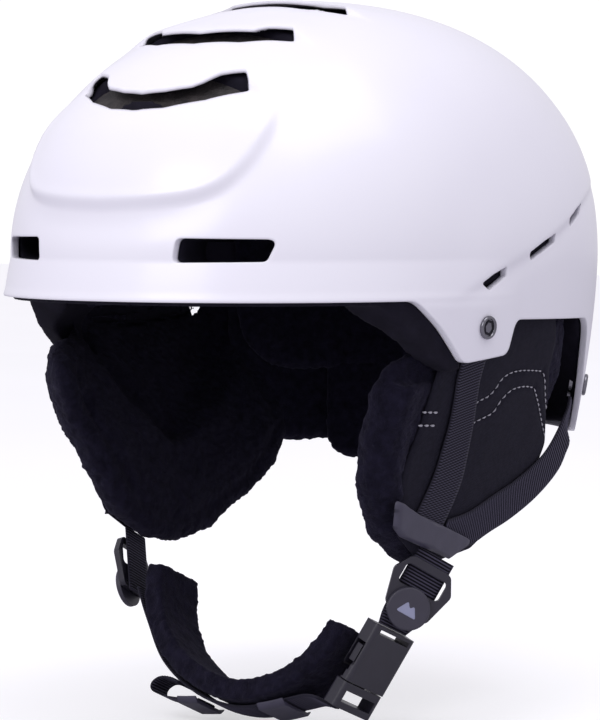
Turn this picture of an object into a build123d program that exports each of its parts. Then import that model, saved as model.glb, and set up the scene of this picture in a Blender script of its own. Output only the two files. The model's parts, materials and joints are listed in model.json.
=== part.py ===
from build123d import *
import os
from functools import lru_cache
from math import cos, pi, radians, sin

# A ski helmet, in millimetres. +Z is up, the brow faces -Y and the wearer's left is +X.
# The origin is on the dome's upright axis, level with the brim's lower edge.

# ---- driving dimensions -------------------------------------------------------------------

HALF_WIDTH = 113.0          # half the width of the outer shell
FRONT_REACH = 135.2         # from the upright axis to the brow
REAR_REACH = 148.8          # from the upright axis to the back of the shell
CROWN = 126.4               # height of the crown
WIDEST = 18.5               # level at which the shell is widest, and of the brim crease
FULLNESS = 0.585            # how square the crown is, as a Bezier handle over the radius
LOWEST = -116.0             # where the forms under the shell end
SKIRT_TUCK = 19.4           # the sides draw in by this much down to there
SKIRT_LINE = [(106, 12), (104.3, -10), (96.4, -35), (87.4, -60), (81.1, -95), (76.6, LOWEST)]
FLAP_FLATNESS = (4.0, 2.6)  # the ear flap is nearly flat: its section is stretched this much, front and rear
FLAP_WALL = 17.5            # thickness of the flap with its pad
BRIM_FLARE = 4.5            # the brim stands out by this much at its lower edge

SHELL_WALL = 3.0
LINER_OUT = 3.6             # depths below the shell's outer surface
LINER_IN = 24.0
PAD_OUT = 24.6
PAD_IN = 31.6
CRADLE_OUT = 25.0
CRADLE_IN = 27.0
NAPE_OUT = 28.5
NAPE_IN = 40.0

BRIM_LEVEL = 1.5
LOBE_LEVEL = -23.8          # bottom of the lobe that holds the front strap
EAR_LEVEL = -7.2            # top of the cut-out over the ear
NAPE_LEVEL = -61.0

WEB_WIDTH = 17.0
WEB_WALL = 1.5
COVER_WALL = 1.5
SKIN_GAP = 0.4              # between one soft layer and the next

RIVET_PLACES = ((-21.0, -9.8, (1, -0.02, 0)),       # y, level and outward way of each left rivet
                (80.0, -40.0, (1, 0.18, 0)))
RIVET_HEAD = 4.75
RIVET_SHANK = 2.1

PIVOT_FRONT = (104.0, -22.0, -20.0)                 # the left ear flap turns on the line
PIVOT_REAR = (83.0, 86.0, -50.0)                    # through its two strap anchors
STRAP_PIVOT = (-80.0, -27.0, -101.0)                # the chin strap swings from the right keeper
STRAP_AXIS = (-0.045, 0.919, -0.392)
FLAP_SHARE = 0.3                                    # flap turn for each turn of the chin strap

SLIDER_LEFT = (80.0, -26.5, -118.0)
SLIDER_RIGHT = (-73.0, -28.0, -120.0)
SLIDER_NORMAL = (0.92, -0.26, -0.29)                # outward, on the left
SLIDER_WIDTH = (-0.128, -0.904, 0.405)              # across the webbing, towards the brow
SLIDER_TURN = -36.0

LOOP_ORIGIN = (0.0, -31.0, -128.0)                  # the chin strap lies in a plane that leans
LOOP_LEAN = 24.0                                    # forward by this much as it goes down
CHIN_PAD_WIDTH = 28.0
CHIN_PAD_WALL = 9.0

DIAL_LEVEL = -64.0
DIAL_RADIUS = 13.0
RACK_FACE = 119.5           # y of the racks' inner face
RACK_DEPTH = 3.0
GEAR_TEETH = 8
GEAR_RADIUS = 4.0           # pitch radius

CLIP_LEVEL = -30.0
CLIP_GAP = 4.3              # room for a goggle strap


# ---- forms that follow the dome -------------------------------------------------------------

def dome_profile(depth):
    """Half of the dome's section through both ears, at a depth below the shell's surface."""
    half = HALF_WIDTH - depth
    top = CROWN - depth
    rise = top - WIDEST
    crown = Bezier((0, top), (half * FULLNESS, top), (half, WIDEST + FULLNESS * rise), (half, WIDEST))
    side = Bezier((half, WIDEST), (half, -20), (half - 7.5, -62), (half - SKIRT_TUCK, LOWEST))
    return make_face(crown + side + Polyline((half - SKIRT_TUCK, LOWEST), (0, LOWEST), (0, top)))


def skirt_profile(inset):
    """The same for the ear cover's outer face, which starts close to the shell and draws in."""
    points = [(x - inset, level) for x, level in SKIRT_LINE]
    return make_face(Spline(points) + Polyline(points[-1], (0, LOWEST), (0, points[0][1]), points[0]))


def turned_form(profile, front_stretch, rear_stretch):
    """Turns a profile about Z and stretches the front and the rear half along Y."""
    whole = revolve(Plane.XZ * profile, Axis.Z)
    front = scale(whole & box((-200, 200), (-200, 0), (-200, 200)), by=(1, front_stretch, 1))
    rear = scale(whole & box((-200, 200), (0, 200), (-200, 200)), by=(1, rear_stretch, 1))
    return front + rear


@lru_cache(maxsize=None)
def dome(depth):
    """A solid dome whose surface is at this depth all over."""
    half = HALF_WIDTH - depth
    return turned_form(dome_profile(depth), (FRONT_REACH - depth) / half, (REAR_REACH - depth) / half)


@lru_cache(maxsize=None)
def skirt(inset):
    """The form of both ear flaps, measured inward from the ear cover's outer face."""
    return turned_form(skirt_profile(inset), *FLAP_FLATNESS)


def layer(outer, inner):
    return dome(outer) - dome(inner)


def side_prism(points, low=-200, high=200):
    """A prism along X from an outline in Y and Z."""
    outline = make_face(Polyline(points, close=True))
    return Plane.YZ.offset(low) * extrude(outline, high - low)


def front_prism(points, near, far):
    """A prism along Y from an outline in X and Z, between two values of y."""
    outline = make_face(Polyline(points, close=True))
    return Plane.XZ.offset(-far) * extrude(outline, far - near)


def plan_prism(points, low, high):
    """A prism along Z from an outline in X and Y."""
    outline = make_face(Polyline(points, close=True))
    return Pos(0, 0, low) * extrude(outline, high - low)


def box(x, y, z):
    """A block between pairs of limits."""
    middle = ((x[0] + x[1]) / 2, (y[0] + y[1]) / 2, (z[0] + z[1]) / 2)
    return Pos(*middle) * Box(x[1] - x[0], y[1] - y[0], z[1] - z[0])


def both_sides(shape):
    return shape + mirror(shape, Plane.YZ)


def right_of(shape):
    return mirror(shape, Plane.YZ)


def surface_plane(start, way):
    """The plane that touches the shell where a line leaves it, with z outward."""
    hits = dome(0).find_intersection_points(Axis(start, way))
    spot, normal = hits[-1]
    return Plane(origin=spot, x_dir=Vector(0, 0, 1).cross(normal), z_dir=normal)


@lru_cache(maxsize=None)
def rivet_planes():
    return [surface_plane((0, y, level), way) for y, level, way in RIVET_PLACES]


# ---- outer shell ------------------------------------------------------------------------------

SHELL_EDGE = [(-200, BRIM_LEVEL), (-60.4, BRIM_LEVEL), (-35.5, LOBE_LEVEL), (-7.5, -21), (-2.5, EAR_LEVEL),
              (66.5, -9.2), (77, -45), (92, NAPE_LEVEL), (200, NAPE_LEVEL)]
SHELL_EDGE_ROUNDS = [14, 5, 4, 3, 7, 14, 12]


def below_shell():
    edge = FilletPolyline(*SHELL_EDGE, radius=SHELL_EDGE_ROUNDS)
    under = Polyline(SHELL_EDGE[-1], (200, -200), (-200, -200), SHELL_EDGE[0])
    return Plane.YZ.offset(-200) * extrude(make_face(edge + under), 400)


def crown_slots():
    """Three slots across the crown; the front two have a tongue in their rear edge."""
    front = [(-42, -93), (-22, -106.5), (0, -110.5), (22, -106.5), (42, -93), (38, -89), (28, -94.5),
             (23, -101), (0, -105.5), (-23, -101), (-28, -94.5), (-38, -89)]
    middle = [(-40, -61.5), (-22, -71), (0, -74.5), (22, -71), (40, -61.5), (37, -57.5), (27, -62),
              (22, -66), (0, -69.5), (-22, -66), (-27, -62), (-37, -57.5)]
    rear = [(-39, -22), (-20, -30), (20, -30), (39, -22), (34, -17), (18, -24), (-18, -24), (-34, -17)]
    return [plan_prism(points, 60, 140) for points in (front, middle, rear)]


def brim(depth):
    """The flared brim: a cone that stands a little forward of the dome."""
    wide = HALF_WIDTH - depth + 1
    cone = Pos(0, 0, (WIDEST + BRIM_LEVEL) / 2 - 1) * Cone(wide, wide - 3.5, WIDEST - BRIM_LEVEL + 2)
    cone = scale(cone, by=(1, (FRONT_REACH - depth) / (HALF_WIDTH - depth), 1))
    return Pos(0, 1 - BRIM_FLARE, 0) * cone & box((-200, 200), (-200, -30), (-20, 40))


def brow_vent():
    return front_prism([(38, 17), (66, 17.5), (70, 25.5), (40, 26)], -160, -60)


def side_vents():
    outlines = ([(-26.4, 8.3), (-12.4, 13.9), (-12.2, 10.7), (-22.2, 6.3)],
                [(6, 19.8), (26.5, 27), (26.3, 24.4), (7.6, 17.6)],
                [(42, 33.6), (57.3, 39.4), (55.5, 36), (43.1, 31)])
    return [side_prism(points, 60, 140) for points in outlines]


def front_panel():
    """The raised panel on the brow, below the front slot."""
    outline = [(-22, 39), (22, 39), (44, 43), (57, 52), (58, 66), (50, 82), (-50, 82), (-58, 66), (-57, 52),
               (-44, 43)]
    return (dome(-2.2) - dome(1.0)) & front_prism(outline, -160, -60)


def rivet_holes(radius, low, high):
    holes = []
    for plane in rivet_planes():
        hole = plane * Pos(0, 0, (low + high) / 2) * Cylinder(radius, high - low)
        holes += [hole, right_of(hole)]
    return holes


def outer_shell():
    shell = layer(0, SHELL_WALL) + (brim(0) - brim(SHELL_WALL) - dome(SHELL_WALL))
    shell = shell - below_shell() + front_panel()
    shell -= both_sides(brow_vent())
    for cutter in crown_slots():
        shell -= cutter
    for vent in side_vents():
        shell -= both_sides(vent)
    for hole in rivet_holes(RIVET_SHANK + 0.2, -8, 3):
        shell -= hole
    for hole in clip_screws(1.7, 1.7):
        shell -= hole
    return shell


# ---- foam liner and what lines it ---------------------------------------------------------------

MESH_WALL = 2.2


def vent_mesh_zone(grow):
    return (plan_prism([(-44 - grow, -86 + grow), (-44 - grow, -114 - grow), (44 + grow, -114 - grow),
                        (44 + grow, -86 + grow)], 60, 140)
            + plan_prism([(-43 - grow, -55 + grow), (-43 - grow, -78 - grow), (43 + grow, -78 - grow),
                          (43 + grow, -55 + grow)], 60, 140)
            + plan_prism([(-42 - grow, -14 + grow), (-42 - grow, -33 - grow), (42 + grow, -33 - grow),
                          (42 + grow, -14 + grow)], 60, 140))


def liner_channels():
    """Air channels through the foam, under the crown slots and behind the brow vents."""
    channels = [both_sides(brow_vent())]
    for y in (-96, -65, -23):
        for x in (-24, 24):
            corners = [(x - 13, y - 5), (x + 13, y - 5), (x + 13, y + 5), (x - 13, y + 5)]
            channels.append(plan_prism(corners, 40, 140))
    return channels


def eps_liner():
    edge = [(-200, 0), (-64, 0), (-47, -16.5), (-37, -16.5), (-37, 6), (68, 6), (70, -12), (91, -46),
            (91, -58), (200, -58), (200, -200), (-200, -200)]
    liner = layer(LINER_OUT, LINER_IN) - side_prism(edge)
    liner -= layer(LINER_OUT - 1, LINER_OUT + MESH_WALL + 0.6) & vent_mesh_zone(0.5)
    for channel in liner_channels():
        liner -= channel
    for hole in rivet_holes(14, -13, 0):
        liner -= hole
    liner -= box((-40, 40), (100, 150), (-80, -49))
    for hole in clip_screws(3.2, 3.2):
        liner -= hole
    return liner


def vent_mesh():
    mesh = layer(LINER_OUT, LINER_OUT + MESH_WALL) & vent_mesh_zone(0)
    for x in range(-36, 37, 12):
        mesh -= box((x - 1.5, x + 1.5), (-120, 0), (60, 140))
    return mesh


def brow_pad():
    return layer(PAD_OUT, PAD_IN) & box((-80, 80), (-140, -52), (4, 15.5))


def crown_pad():
    strips = box((-10, 10), (-52, -34), (60, 120)) + box((-10, 10), (-12, 60), (60, 120))
    strips += box((-55, 55), (8, 30), (60, 120))
    return layer(PAD_OUT, PAD_IN) & strips


def side_pad():
    return layer(PAD_OUT, PAD_IN) & box((50, 120), (-40, 50), (30, 58))


def nape_pad():
    return layer(NAPE_OUT, NAPE_IN) & side_prism([(67, -36), (67, -71), (80, -79), (140, -80), (140, -36)])


# ---- rear fit system ----------------------------------------------------------------------------------

def fit_cradle():
    band = layer(CRADLE_OUT, CRADLE_IN)
    arms = band & side_prism([(-30, 10), (-34, 16), (-30, 22), (140, 22), (140, 10)])
    back = band & front_prism([(-42, 22), (42, 22), (30, -77), (-30, -77)], 60, 140)
    windows = front_prism([(8, 2), (33, 2), (27, -36), (8, -36)], 60, 140)
    return arms + back - both_sides(windows)


def cradle_pins():
    """Push pins that hold the arms' front ends to the foam."""
    pin = Plane(origin=(82.7, -22, 16), z_dir=(1, 0, 0)) * Cylinder(3.5, 1.2)
    return both_sides(pin)


def housing_block(low, high):
    return box((-34, 34), (low, high), (DIAL_LEVEL - 13, DIAL_LEVEL + 13))


def rack_channels():
    upper = box((-40, 40), (RACK_FACE - 0.5, 140), (DIAL_LEVEL + 2.5, DIAL_LEVEL + 9.3))
    lower = box((-40, 40), (RACK_FACE - 0.5, 140), (DIAL_LEVEL - 9.3, DIAL_LEVEL - 2.5))
    well = Pos(0, RACK_FACE + 5, DIAL_LEVEL) * Rot(90, 0, 0) * Cylinder(6.2, 11)
    return upper + lower + well


def dial_housing():
    return housing_block(104, RACK_FACE + RACK_DEPTH + 0.5) - dome(CRADLE_OUT - 0.2) - rack_channels()


def dial_cover():
    cover = housing_block(RACK_FACE + RACK_DEPTH + 0.6, RACK_FACE + RACK_DEPTH + 2.4)
    return cover - Pos(0, 124, DIAL_LEVEL) * Rot(90, 0, 0) * Cylinder(3.2, 10)


def fit_dial():
    low = RACK_FACE + RACK_DEPTH + 2.8
    knob = Pos(0, low + 3.6, DIAL_LEVEL) * Rot(90, 0, 0) * Cylinder(DIAL_RADIUS, 7.2)
    for step in range(12):
        angle = radians(30 * step)
        spot = (DIAL_RADIUS + 1.2) * Vector(cos(angle), 0, sin(angle))
        knob -= Pos(spot.X, low + 3.6, DIAL_LEVEL + spot.Z) * Rot(90, 0, 0) * Cylinder(2.4, 8)
    knob -= Pos(0, low + 7.2, DIAL_LEVEL) * Rot(90, 0, 0) * Cylinder(7, 2)
    shaft = Pos(0, low - 1.2, DIAL_LEVEL) * Rot(90, 0, 0) * Cylinder(3, 3)
    return knob + shaft


GEAR_PITCH = 2 * pi * GEAR_RADIUS / GEAR_TEETH


def dial_pinion():
    depth = RACK_DEPTH - 0.2
    middle = RACK_FACE + RACK_DEPTH / 2
    gear = Pos(0, middle, DIAL_LEVEL) * Rot(90, 0, 0) * Cylinder(GEAR_RADIUS - 1.3, depth)
    for step in range(GEAR_TEETH):
        tooth = Polyline((-0.55, 2), (0.55, 2), (0.25, 4.9), (-0.25, 4.9), close=True)
        solid = Plane.XZ * extrude(make_face(tooth), depth / 2, both=True)
        gear += Pos(0, middle, DIAL_LEVEL) * Rot(0, 360 / GEAR_TEETH * step, 0) * solid
    return gear


def rack(side):
    """A toothed bar; the left one lies over the pinion, the right one under it."""
    far = RACK_FACE + RACK_DEPTH
    bar = box((-16, 30), (RACK_FACE, far), (5.2, 9.0))
    for step in range(-5, 6):
        x = GEAR_PITCH * (step + 0.5)
        tooth = [(x - 0.75, 5.3), (x + 0.75, 5.3), (x + 0.4, 3.3), (x - 0.4, 3.3)]
        bar += front_prism(tooth, RACK_FACE, far)
    bar = Pos(0, 0, DIAL_LEVEL) * bar
    if side == "left":
        return bar
    turned = bar.rotate(Axis((0, 0, DIAL_LEVEL), (0, 1, 0)), 180)
    return turned


# ---- goggle-strap clip on the back ------------------------------------------------------------------------

def clip_plane():
    touch = surface_plane((0, 0, CLIP_LEVEL), (0, 1, 0))
    return Plane(origin=touch.origin, x_dir=(-1, 0, 0), z_dir=touch.z_dir)


CLIP_PIN = (0, -15.5, 6.2)   # across, up and out, on the clip's plane


def clip_screws(shank, head):
    screws = []
    for up in (-7, 7):
        shape = Pos(0, up, -3) * Cylinder(shank, 10)
        if head > shank:
            shape += Pos(0, up, 2.4) * Cylinder(head, 1)
        screws.append(clip_plane() * shape)
    return screws


def goggle_clip_base():
    plate = box((-10, 10), (-19, 19), (-2.5, 3))
    for x in (-8.6, 8.6):
        plate += box((x - 1.4, x + 1.4), (-19, -12), (2, 9.2))
    plate -= Pos(*CLIP_PIN) * Rot(0, 90, 0) * Cylinder(1.5, 30)
    for up in (-7, 7):
        plate -= Pos(0, up, 0) * Cylinder(1.7, 20)
        plate -= Pos(0, up, 3) * Cylinder(3.1, 2.4)
    plate -= Pos(0, 15, 3) * Cylinder(2.5, 3)
    return clip_plane() * plate - dome(-0.15)


def goggle_clip_screws():
    screws = clip_screws(1.5, 2.9)
    return screws[0] + screws[1]


def goggle_clip_pin():
    return clip_plane() * Pos(*CLIP_PIN) * Rot(0, 90, 0) * Cylinder(1.45, 20.4)


def goggle_clip_arm():
    barrel = Pos(*CLIP_PIN) * Rot(0, 90, 0) * Cylinder(3, 13.6)
    plate = box((-6.8, 6.8), (-15.5, 19), (3 + CLIP_GAP, 3 + CLIP_GAP + 2))
    stud = Pos(0, 15, 5) * Cylinder(2.2, 6)
    arm = barrel + plate + stud
    arm -= Pos(*CLIP_PIN) * Rot(0, 90, 0) * Cylinder(1.5, 30)
    return clip_plane() * arm


# ---- strap anchors -----------------------------------------------------------------------------------------

def strap_rivets():
    rivets = []
    for plane in rivet_planes():
        head = Pos(0, 0, 1.0) * Cylinder(RIVET_HEAD, 1.6)
        head -= Pos(0, 0, 1.5) * extrude(RegularPolygon(2.0, 6), 1)
        rivet = plane * (head + Pos(0, 0, -3.2) * Cylinder(RIVET_SHANK, 7))
        rivets += [rivet, right_of(rivet)]
    return rivets


def strap_anchors():
    """Plates inside the shell that the rivets hold and the webbing is sewn to."""
    anchors = []
    for plane in rivet_planes():
        plate = Pos(0, 0, -4.2) * (Cylinder(7, 1.4) - Cylinder(RIVET_SHANK + 0.1, 3))
        anchor = plane * plate
        anchors += [anchor, right_of(anchor)]
    return anchors


# ---- ear flap, left; the right one mirrors it --------------------------------------------------------------

EAR_OUTLINE = [(-33, 3.5), (62, 3.5), (66, -20), (64, -66), (54, -80), (39, -94), (15, -107.5), (-8, -111), (-26, -107.5),
               (-44, -96), (-55, -77), (-59.5, -56), (-60.5, -36), (-57, -25), (-48, -20), (-33, -18.5)]
COVER_OUTLINE = [(-11.5, 3), (40, 3), (45, -15), (47.5, -30), (56, -46), (66, -63), (62, -72), (53, -79), (38, -92.5),
                 (14, -105.5), (-8, -108.5), (-26, -105), (-42, -95), (-45.5, -80), (-45, -70), (-41, -55),
                 (-42, -40), (-41, -24), (-34, -19.5), (-11.5, -19.5)]


def left_half(shape):
    return shape & box((0, 160), (-160, 160), (-130, 20))


def ear_cover():
    return left_half((skirt(0) - skirt(COVER_WALL)) & side_prism(COVER_OUTLINE) & dome(SHELL_WALL + SKIN_GAP))


def ear_pad():
    body = skirt(COVER_WALL + SKIN_GAP) - skirt(FLAP_WALL)
    body &= dome(SHELL_WALL + COVER_WALL + 2 * SKIN_GAP)
    body -= slider_plane("left") * box((-13.8, 13.8), (-12.5, 15.4), (-2.6, 3))
    return left_half(body & side_prism(EAR_OUTLINE))


def web_layer():
    return skirt(-SKIN_GAP - WEB_WALL) - skirt(-SKIN_GAP)


FRONT_WEB = [(-27, -19.5), (-10, -19.5), (-8.2, -39.5), (-4.8, -51), (-3, -63), (-4.5, -75), (-9, -87), (-16, -98),
             (-38, -97), (-32, -85.5), (-25.5, -73.5), (-22.3, -63), (-21.8, -51.5), (-24, -41)]
REAR_WEB = [(88, -50), (88, -60), (83, -72.5), (74.4, -80), (58.4, -88), (39, -95), (24.4, -99.5), (8, -104.5),
            (-8, -105), (-14, -100), (-8.4, -91.5), (5.7, -88.5), (22.9, -83), (38.2, -78.5), (55.3, -71.5),
            (65.3, -65), (71.9, -56.5), (75, -48)]


def front_webbing():
    return left_half(web_layer() & side_prism(FRONT_WEB) & dome(SHELL_WALL + SKIN_GAP))


def rear_webbing():
    return left_half(web_layer() & side_prism(REAR_WEB) & dome(SHELL_WALL + SKIN_GAP))


def strap_keeper():
    """The band over both webbings, sewn to the cover in front."""
    outline = [(-50, -78.8), (-43, -82.5), (-35, -86), (-15.5, -92.5), (9.6, -102), (-5.6, -108), (-26.6, -101),
               (-43.8, -95), (-49, -91)]
    inset = SKIN_GAP + WEB_WALL
    return left_half((skirt(-inset - SKIN_GAP - 1.6) - skirt(-inset - SKIN_GAP)) & side_prism(outline))


# ---- sliders, buckle and lower webbing ----------------------------------------------------------------------

def buckle_plane():
    """x across the webbing, y up along it and z outward."""
    across = tuple(-part for part in SLIDER_WIDTH)
    return Plane(origin=SLIDER_LEFT, x_dir=across, z_dir=SLIDER_NORMAL)


def slider_plane(side):
    """The same for a slider; the left one is turned about the webbing, to face forward."""
    if side == "left":
        return Plane(buckle_plane().location * Rotation(0, SLIDER_TURN, 0))
    across = (-SLIDER_WIDTH[0], SLIDER_WIDTH[1], SLIDER_WIDTH[2])
    normal = (-SLIDER_NORMAL[0], SLIDER_NORMAL[1], SLIDER_NORMAL[2])
    return Plane(origin=SLIDER_RIGHT, x_dir=across, z_dir=normal)


def slider_frame(side):
    outline = Polyline((-9, 11), (9, 11), (13.5, 3), (9.5, -12), (-9.5, -12), (-13.5, 3), close=True)
    plate = extrude(fillet(make_face(outline).vertices(), 3), 2.6)
    window = Pos(0, 3, 0) * extrude(RectangleRounded(19, 9, 2), 6)
    slot = Pos(0, -9.8, 0) * extrude(RectangleRounded(15, 1.8, 0.8), 1.2)
    return slider_plane(side) * (plate - window - slot)


def slider_cap(side):
    cap = Pos(0, -9.2, 4.1) * Cylinder(9, 2.4)
    cap = fillet(cap.edges().group_by(Axis.Z)[-1], 0.8)
    return slider_plane(side) * cap


def lower_webbing_left():
    """The webbing behind the slider, with the turned end that the buckle holds."""
    strip = box((-WEB_WIDTH / 2, WEB_WIDTH / 2), (-18.6, 15), (-2.2, -0.7))
    end = box((-WEB_WIDTH / 2, WEB_WIDTH / 2), (-20.2, -18.3), (-2.2, -0.7))
    return slider_plane("left") * strip + buckle_plane() * end - skirt(-SKIN_GAP)


def lower_webbing_right():
    strip = box((-WEB_WIDTH / 2, WEB_WIDTH / 2), (-14, 9), (-2.2, -0.7))
    return slider_plane("right") * strip


SOCKET_TOP = -20.5           # along the slider's plane
SOCKET_MOUTH = -46.8
PLUG_END = -58.5


def socket_body():
    body = box((-12, 12), (SOCKET_MOUTH, SOCKET_TOP), (-6, 2.6))
    body = fillet(body.edges().filter_by(Axis.Y), 2)
    body -= box((-10.6, 10.6), (-60, -26), (-4.4, 1.2))
    body -= box((-20, 20), (-40, -29.5), (-4.4, 1.2))
    body -= box((-9, 9), (-24, -22), (-8, 8))
    return buckle_plane() * body


def prong(way):
    arm = box((6.2, 8.6), (-46.5, -30.5), (-3.2, 0.2))
    button = box((8, 11.6), (-38.8, -31), (-3.2, 0.2))
    shape = arm + button
    return buckle_plane() * (shape if way == "rear" else mirror(shape, Plane.YZ))


def buckle_plug():
    frame = box((-11.5, 11.5), (PLUG_END, SOCKET_MOUTH - 0.5), (-5.4, 2.6))
    frame = fillet(frame.edges().filter_by(Axis.Y), 2)
    frame -= box((-9, 9), (-55.6, -50.6), (-8, 8))
    tongue = box((-2, 2), (-48, -33), (-3.2, 0.2))
    return buckle_plane() * (frame + tongue)


def turn_about(shape, start, way, angle):
    return shape.rotate(Axis(start, way), angle)


def flap_axis(side):
    """The line each ear flap turns on; a positive turn opens the flap outward."""
    sign = 1 if side == "left" else -1
    front = Vector(sign * PIVOT_FRONT[0], *PIVOT_FRONT[1:])
    rear = Vector(sign * PIVOT_REAR[0], *PIVOT_REAR[1:])
    way = (front - rear) if side == "left" else (rear - front)
    return front, way.normalized()


def plug_path():
    """Where the plug's prongs and tongue pass, seen from the socket, as the strap swings open."""
    arms = box((-9.4, 9.4), (-48, -30), (-3.7, 0.7))
    buttons = box((-12, 12), (-39.4, -30.4), (-3.7, 0.7))
    moving = buckle_plane() * (arms + buttons)
    face = buckle_plane() * box((-12.2, 12.2), (PLUG_END, SOCKET_MOUTH - 0.3), (-6, 3.2))
    left_start, left_way = flap_axis("left")
    right_start, right_way = flap_axis("right")
    path = None
    for step in range(1, 13):
        angle = 0.9 * step
        for shape in (moving, face):
            moved = turn_about(shape, STRAP_PIVOT, STRAP_AXIS, angle)
            moved = turn_about(moved, right_start, right_way, FLAP_SHARE * angle)
            moved = turn_about(moved, left_start, left_way, -FLAP_SHARE * angle)
            path = moved if path is None else path + moved
    return path


def buckle_socket():
    return socket_body() - plug_path()


# ---- chin strap ------------------------------------------------------------------------------------------------

PAD_LINE = [(-50, -7), (-44.5, 12), (-30, 29.5), (-9, 40.5), (12, 43.3), (32, 37), (46, 25), (53.5, 10)]
WEB_LINE = [(-61, 3), (-50.5, 17), (-34.5, 35), (-11.3, 46.6), (12, 49.3), (33.5, 43.8), (43, 41), (49.5, 41.5)]
BAND_LINES = [[(-21, 50.9), (-16, 50.4), (-11, 49.8)], [(22, 49.4), (28, 47.8), (34.5, 45.7)]]
TAB_LINE = [(-27, 42.0), (-32, 40.7), (-37, 40.8), (-40.4, 43.4), (-40.2, 46.4), (-36, 48.2), (-24, 48.9), (-13, 48.3)]


def loop_plane():
    """x to the left, y down along the strap's plane; its normal lies across the strap."""
    lean = radians(LOOP_LEAN)
    return Plane(origin=LOOP_ORIGIN, x_dir=(1, 0, 0), z_dir=(0, cos(lean), -sin(lean)))


def ribbon(points, wall, width):
    """A strip of one thickness along a curve in the strap's plane, centred across it."""
    line = Spline(points)
    samples = [step / 24 for step in range(25)]
    sides = []
    for sign in (1, -1):
        edge = []
        for part in samples:
            spot = line @ part
            way = line % part
            edge.append((spot.X - sign * way.Y * wall / 2, spot.Y + sign * way.X * wall / 2))
        sides.append(edge)
    outline = Spline(sides[0]) + Line(sides[0][-1], sides[1][-1]) + Spline(sides[1]) + Line(sides[1][0], sides[0][0])
    return loop_plane() * extrude(make_face(outline), width / 2, both=True)


def webbing_bands():
    bands = [ribbon(line, 1.4, WEB_WIDTH + 4) for line in BAND_LINES]
    return bands[0] + bands[1]


def pull_tab():
    """The webbing's free end, folded into a loop under the chin."""
    return ribbon(TAB_LINE, WEB_WALL, WEB_WIDTH - 1)


def chin_pad():
    return ribbon(PAD_LINE, CHIN_PAD_WALL, CHIN_PAD_WIDTH)


def chin_webbing():
    return ribbon(WEB_LINE, WEB_WALL, WEB_WIDTH)


PARTS = {
    "outer_shell": outer_shell,
    "eps_liner": eps_liner,
    "vent_mesh": vent_mesh,
    "brow_pad": brow_pad,
    "crown_pad": crown_pad,
    "side_pad_left": side_pad,
    "side_pad_right": lambda: right_of(side_pad()),
    "nape_pad": nape_pad,
    "fit_cradle": fit_cradle,
    "cradle_pins": cradle_pins,
    "dial_housing": dial_housing,
    "dial_cover": dial_cover,
    "fit_dial": fit_dial,
    "dial_pinion": dial_pinion,
    "rack_left": lambda: rack("left"),
    "rack_right": lambda: rack("right"),
    "goggle_clip_base": goggle_clip_base,
    "goggle_clip_screws": goggle_clip_screws,
    "goggle_clip_pin": goggle_clip_pin,
    "goggle_clip_arm": goggle_clip_arm,
    "strap_rivets": strap_rivets,
    "strap_anchors": strap_anchors,
    "ear_pad_left": ear_pad,
    "ear_cover_left": ear_cover,
    "front_webbing_left": front_webbing,
    "rear_webbing_left": rear_webbing,
    "strap_keeper_left": strap_keeper,
    "ear_pad_right": lambda: right_of(ear_pad()),
    "ear_cover_right": lambda: right_of(ear_cover()),
    "front_webbing_right": lambda: right_of(front_webbing()),
    "rear_webbing_right": lambda: right_of(rear_webbing()),
    "strap_keeper_right": lambda: right_of(strap_keeper()),
    "slider_frame_left": lambda: slider_frame("left"),
    "slider_frame_right": lambda: slider_frame("right"),
    "slider_cap_left": lambda: slider_cap("left"),
    "slider_cap_right": lambda: slider_cap("right"),
    "lower_webbing_left": lower_webbing_left,
    "lower_webbing_right": lower_webbing_right,
    "buckle_socket": buckle_socket,
    "buckle_plug": buckle_plug,
    "buckle_prong_front": lambda: prong("front"),
    "buckle_prong_rear": lambda: prong("rear"),
    "chin_pad": chin_pad,
    "chin_webbing": chin_webbing,
    "webbing_bands": webbing_bands,
    "pull_tab": pull_tab,
}

os.makedirs("parts", exist_ok=True)
for name, make in PARTS.items():
    shape = make()
    if isinstance(shape, list):
        shape = Compound(children=shape)
    export_step(shape, f"parts/{name}.step")
    print(name, round(shape.volume), flush=True)
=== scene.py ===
"""A white ski helmet with plush ear flaps, ribbed straps and a buckled chin strap.

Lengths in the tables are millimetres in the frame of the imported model; mm() turns them to metres.
"""
import json
import math

import bmesh
import bpy
from mathutils import Matrix, Vector, noise

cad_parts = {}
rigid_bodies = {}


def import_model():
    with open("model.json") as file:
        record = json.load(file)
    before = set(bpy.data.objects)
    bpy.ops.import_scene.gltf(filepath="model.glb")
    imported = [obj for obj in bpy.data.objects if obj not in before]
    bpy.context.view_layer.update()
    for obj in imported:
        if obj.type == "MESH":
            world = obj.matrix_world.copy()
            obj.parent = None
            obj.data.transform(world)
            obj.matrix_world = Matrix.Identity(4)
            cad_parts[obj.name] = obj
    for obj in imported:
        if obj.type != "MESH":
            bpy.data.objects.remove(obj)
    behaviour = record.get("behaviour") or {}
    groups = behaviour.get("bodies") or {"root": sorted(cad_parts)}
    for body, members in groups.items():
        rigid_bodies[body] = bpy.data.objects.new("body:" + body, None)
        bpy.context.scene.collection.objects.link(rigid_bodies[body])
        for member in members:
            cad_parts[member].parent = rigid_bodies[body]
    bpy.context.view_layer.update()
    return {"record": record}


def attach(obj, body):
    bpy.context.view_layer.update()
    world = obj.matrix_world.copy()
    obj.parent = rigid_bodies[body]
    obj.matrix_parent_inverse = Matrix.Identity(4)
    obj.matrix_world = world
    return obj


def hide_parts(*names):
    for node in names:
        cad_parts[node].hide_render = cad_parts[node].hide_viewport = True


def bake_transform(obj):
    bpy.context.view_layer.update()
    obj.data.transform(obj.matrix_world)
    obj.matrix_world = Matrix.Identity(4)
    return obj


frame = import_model()

UNIT = 0.001


def mm(*parts):
    return Vector(parts) * UNIT


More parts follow.
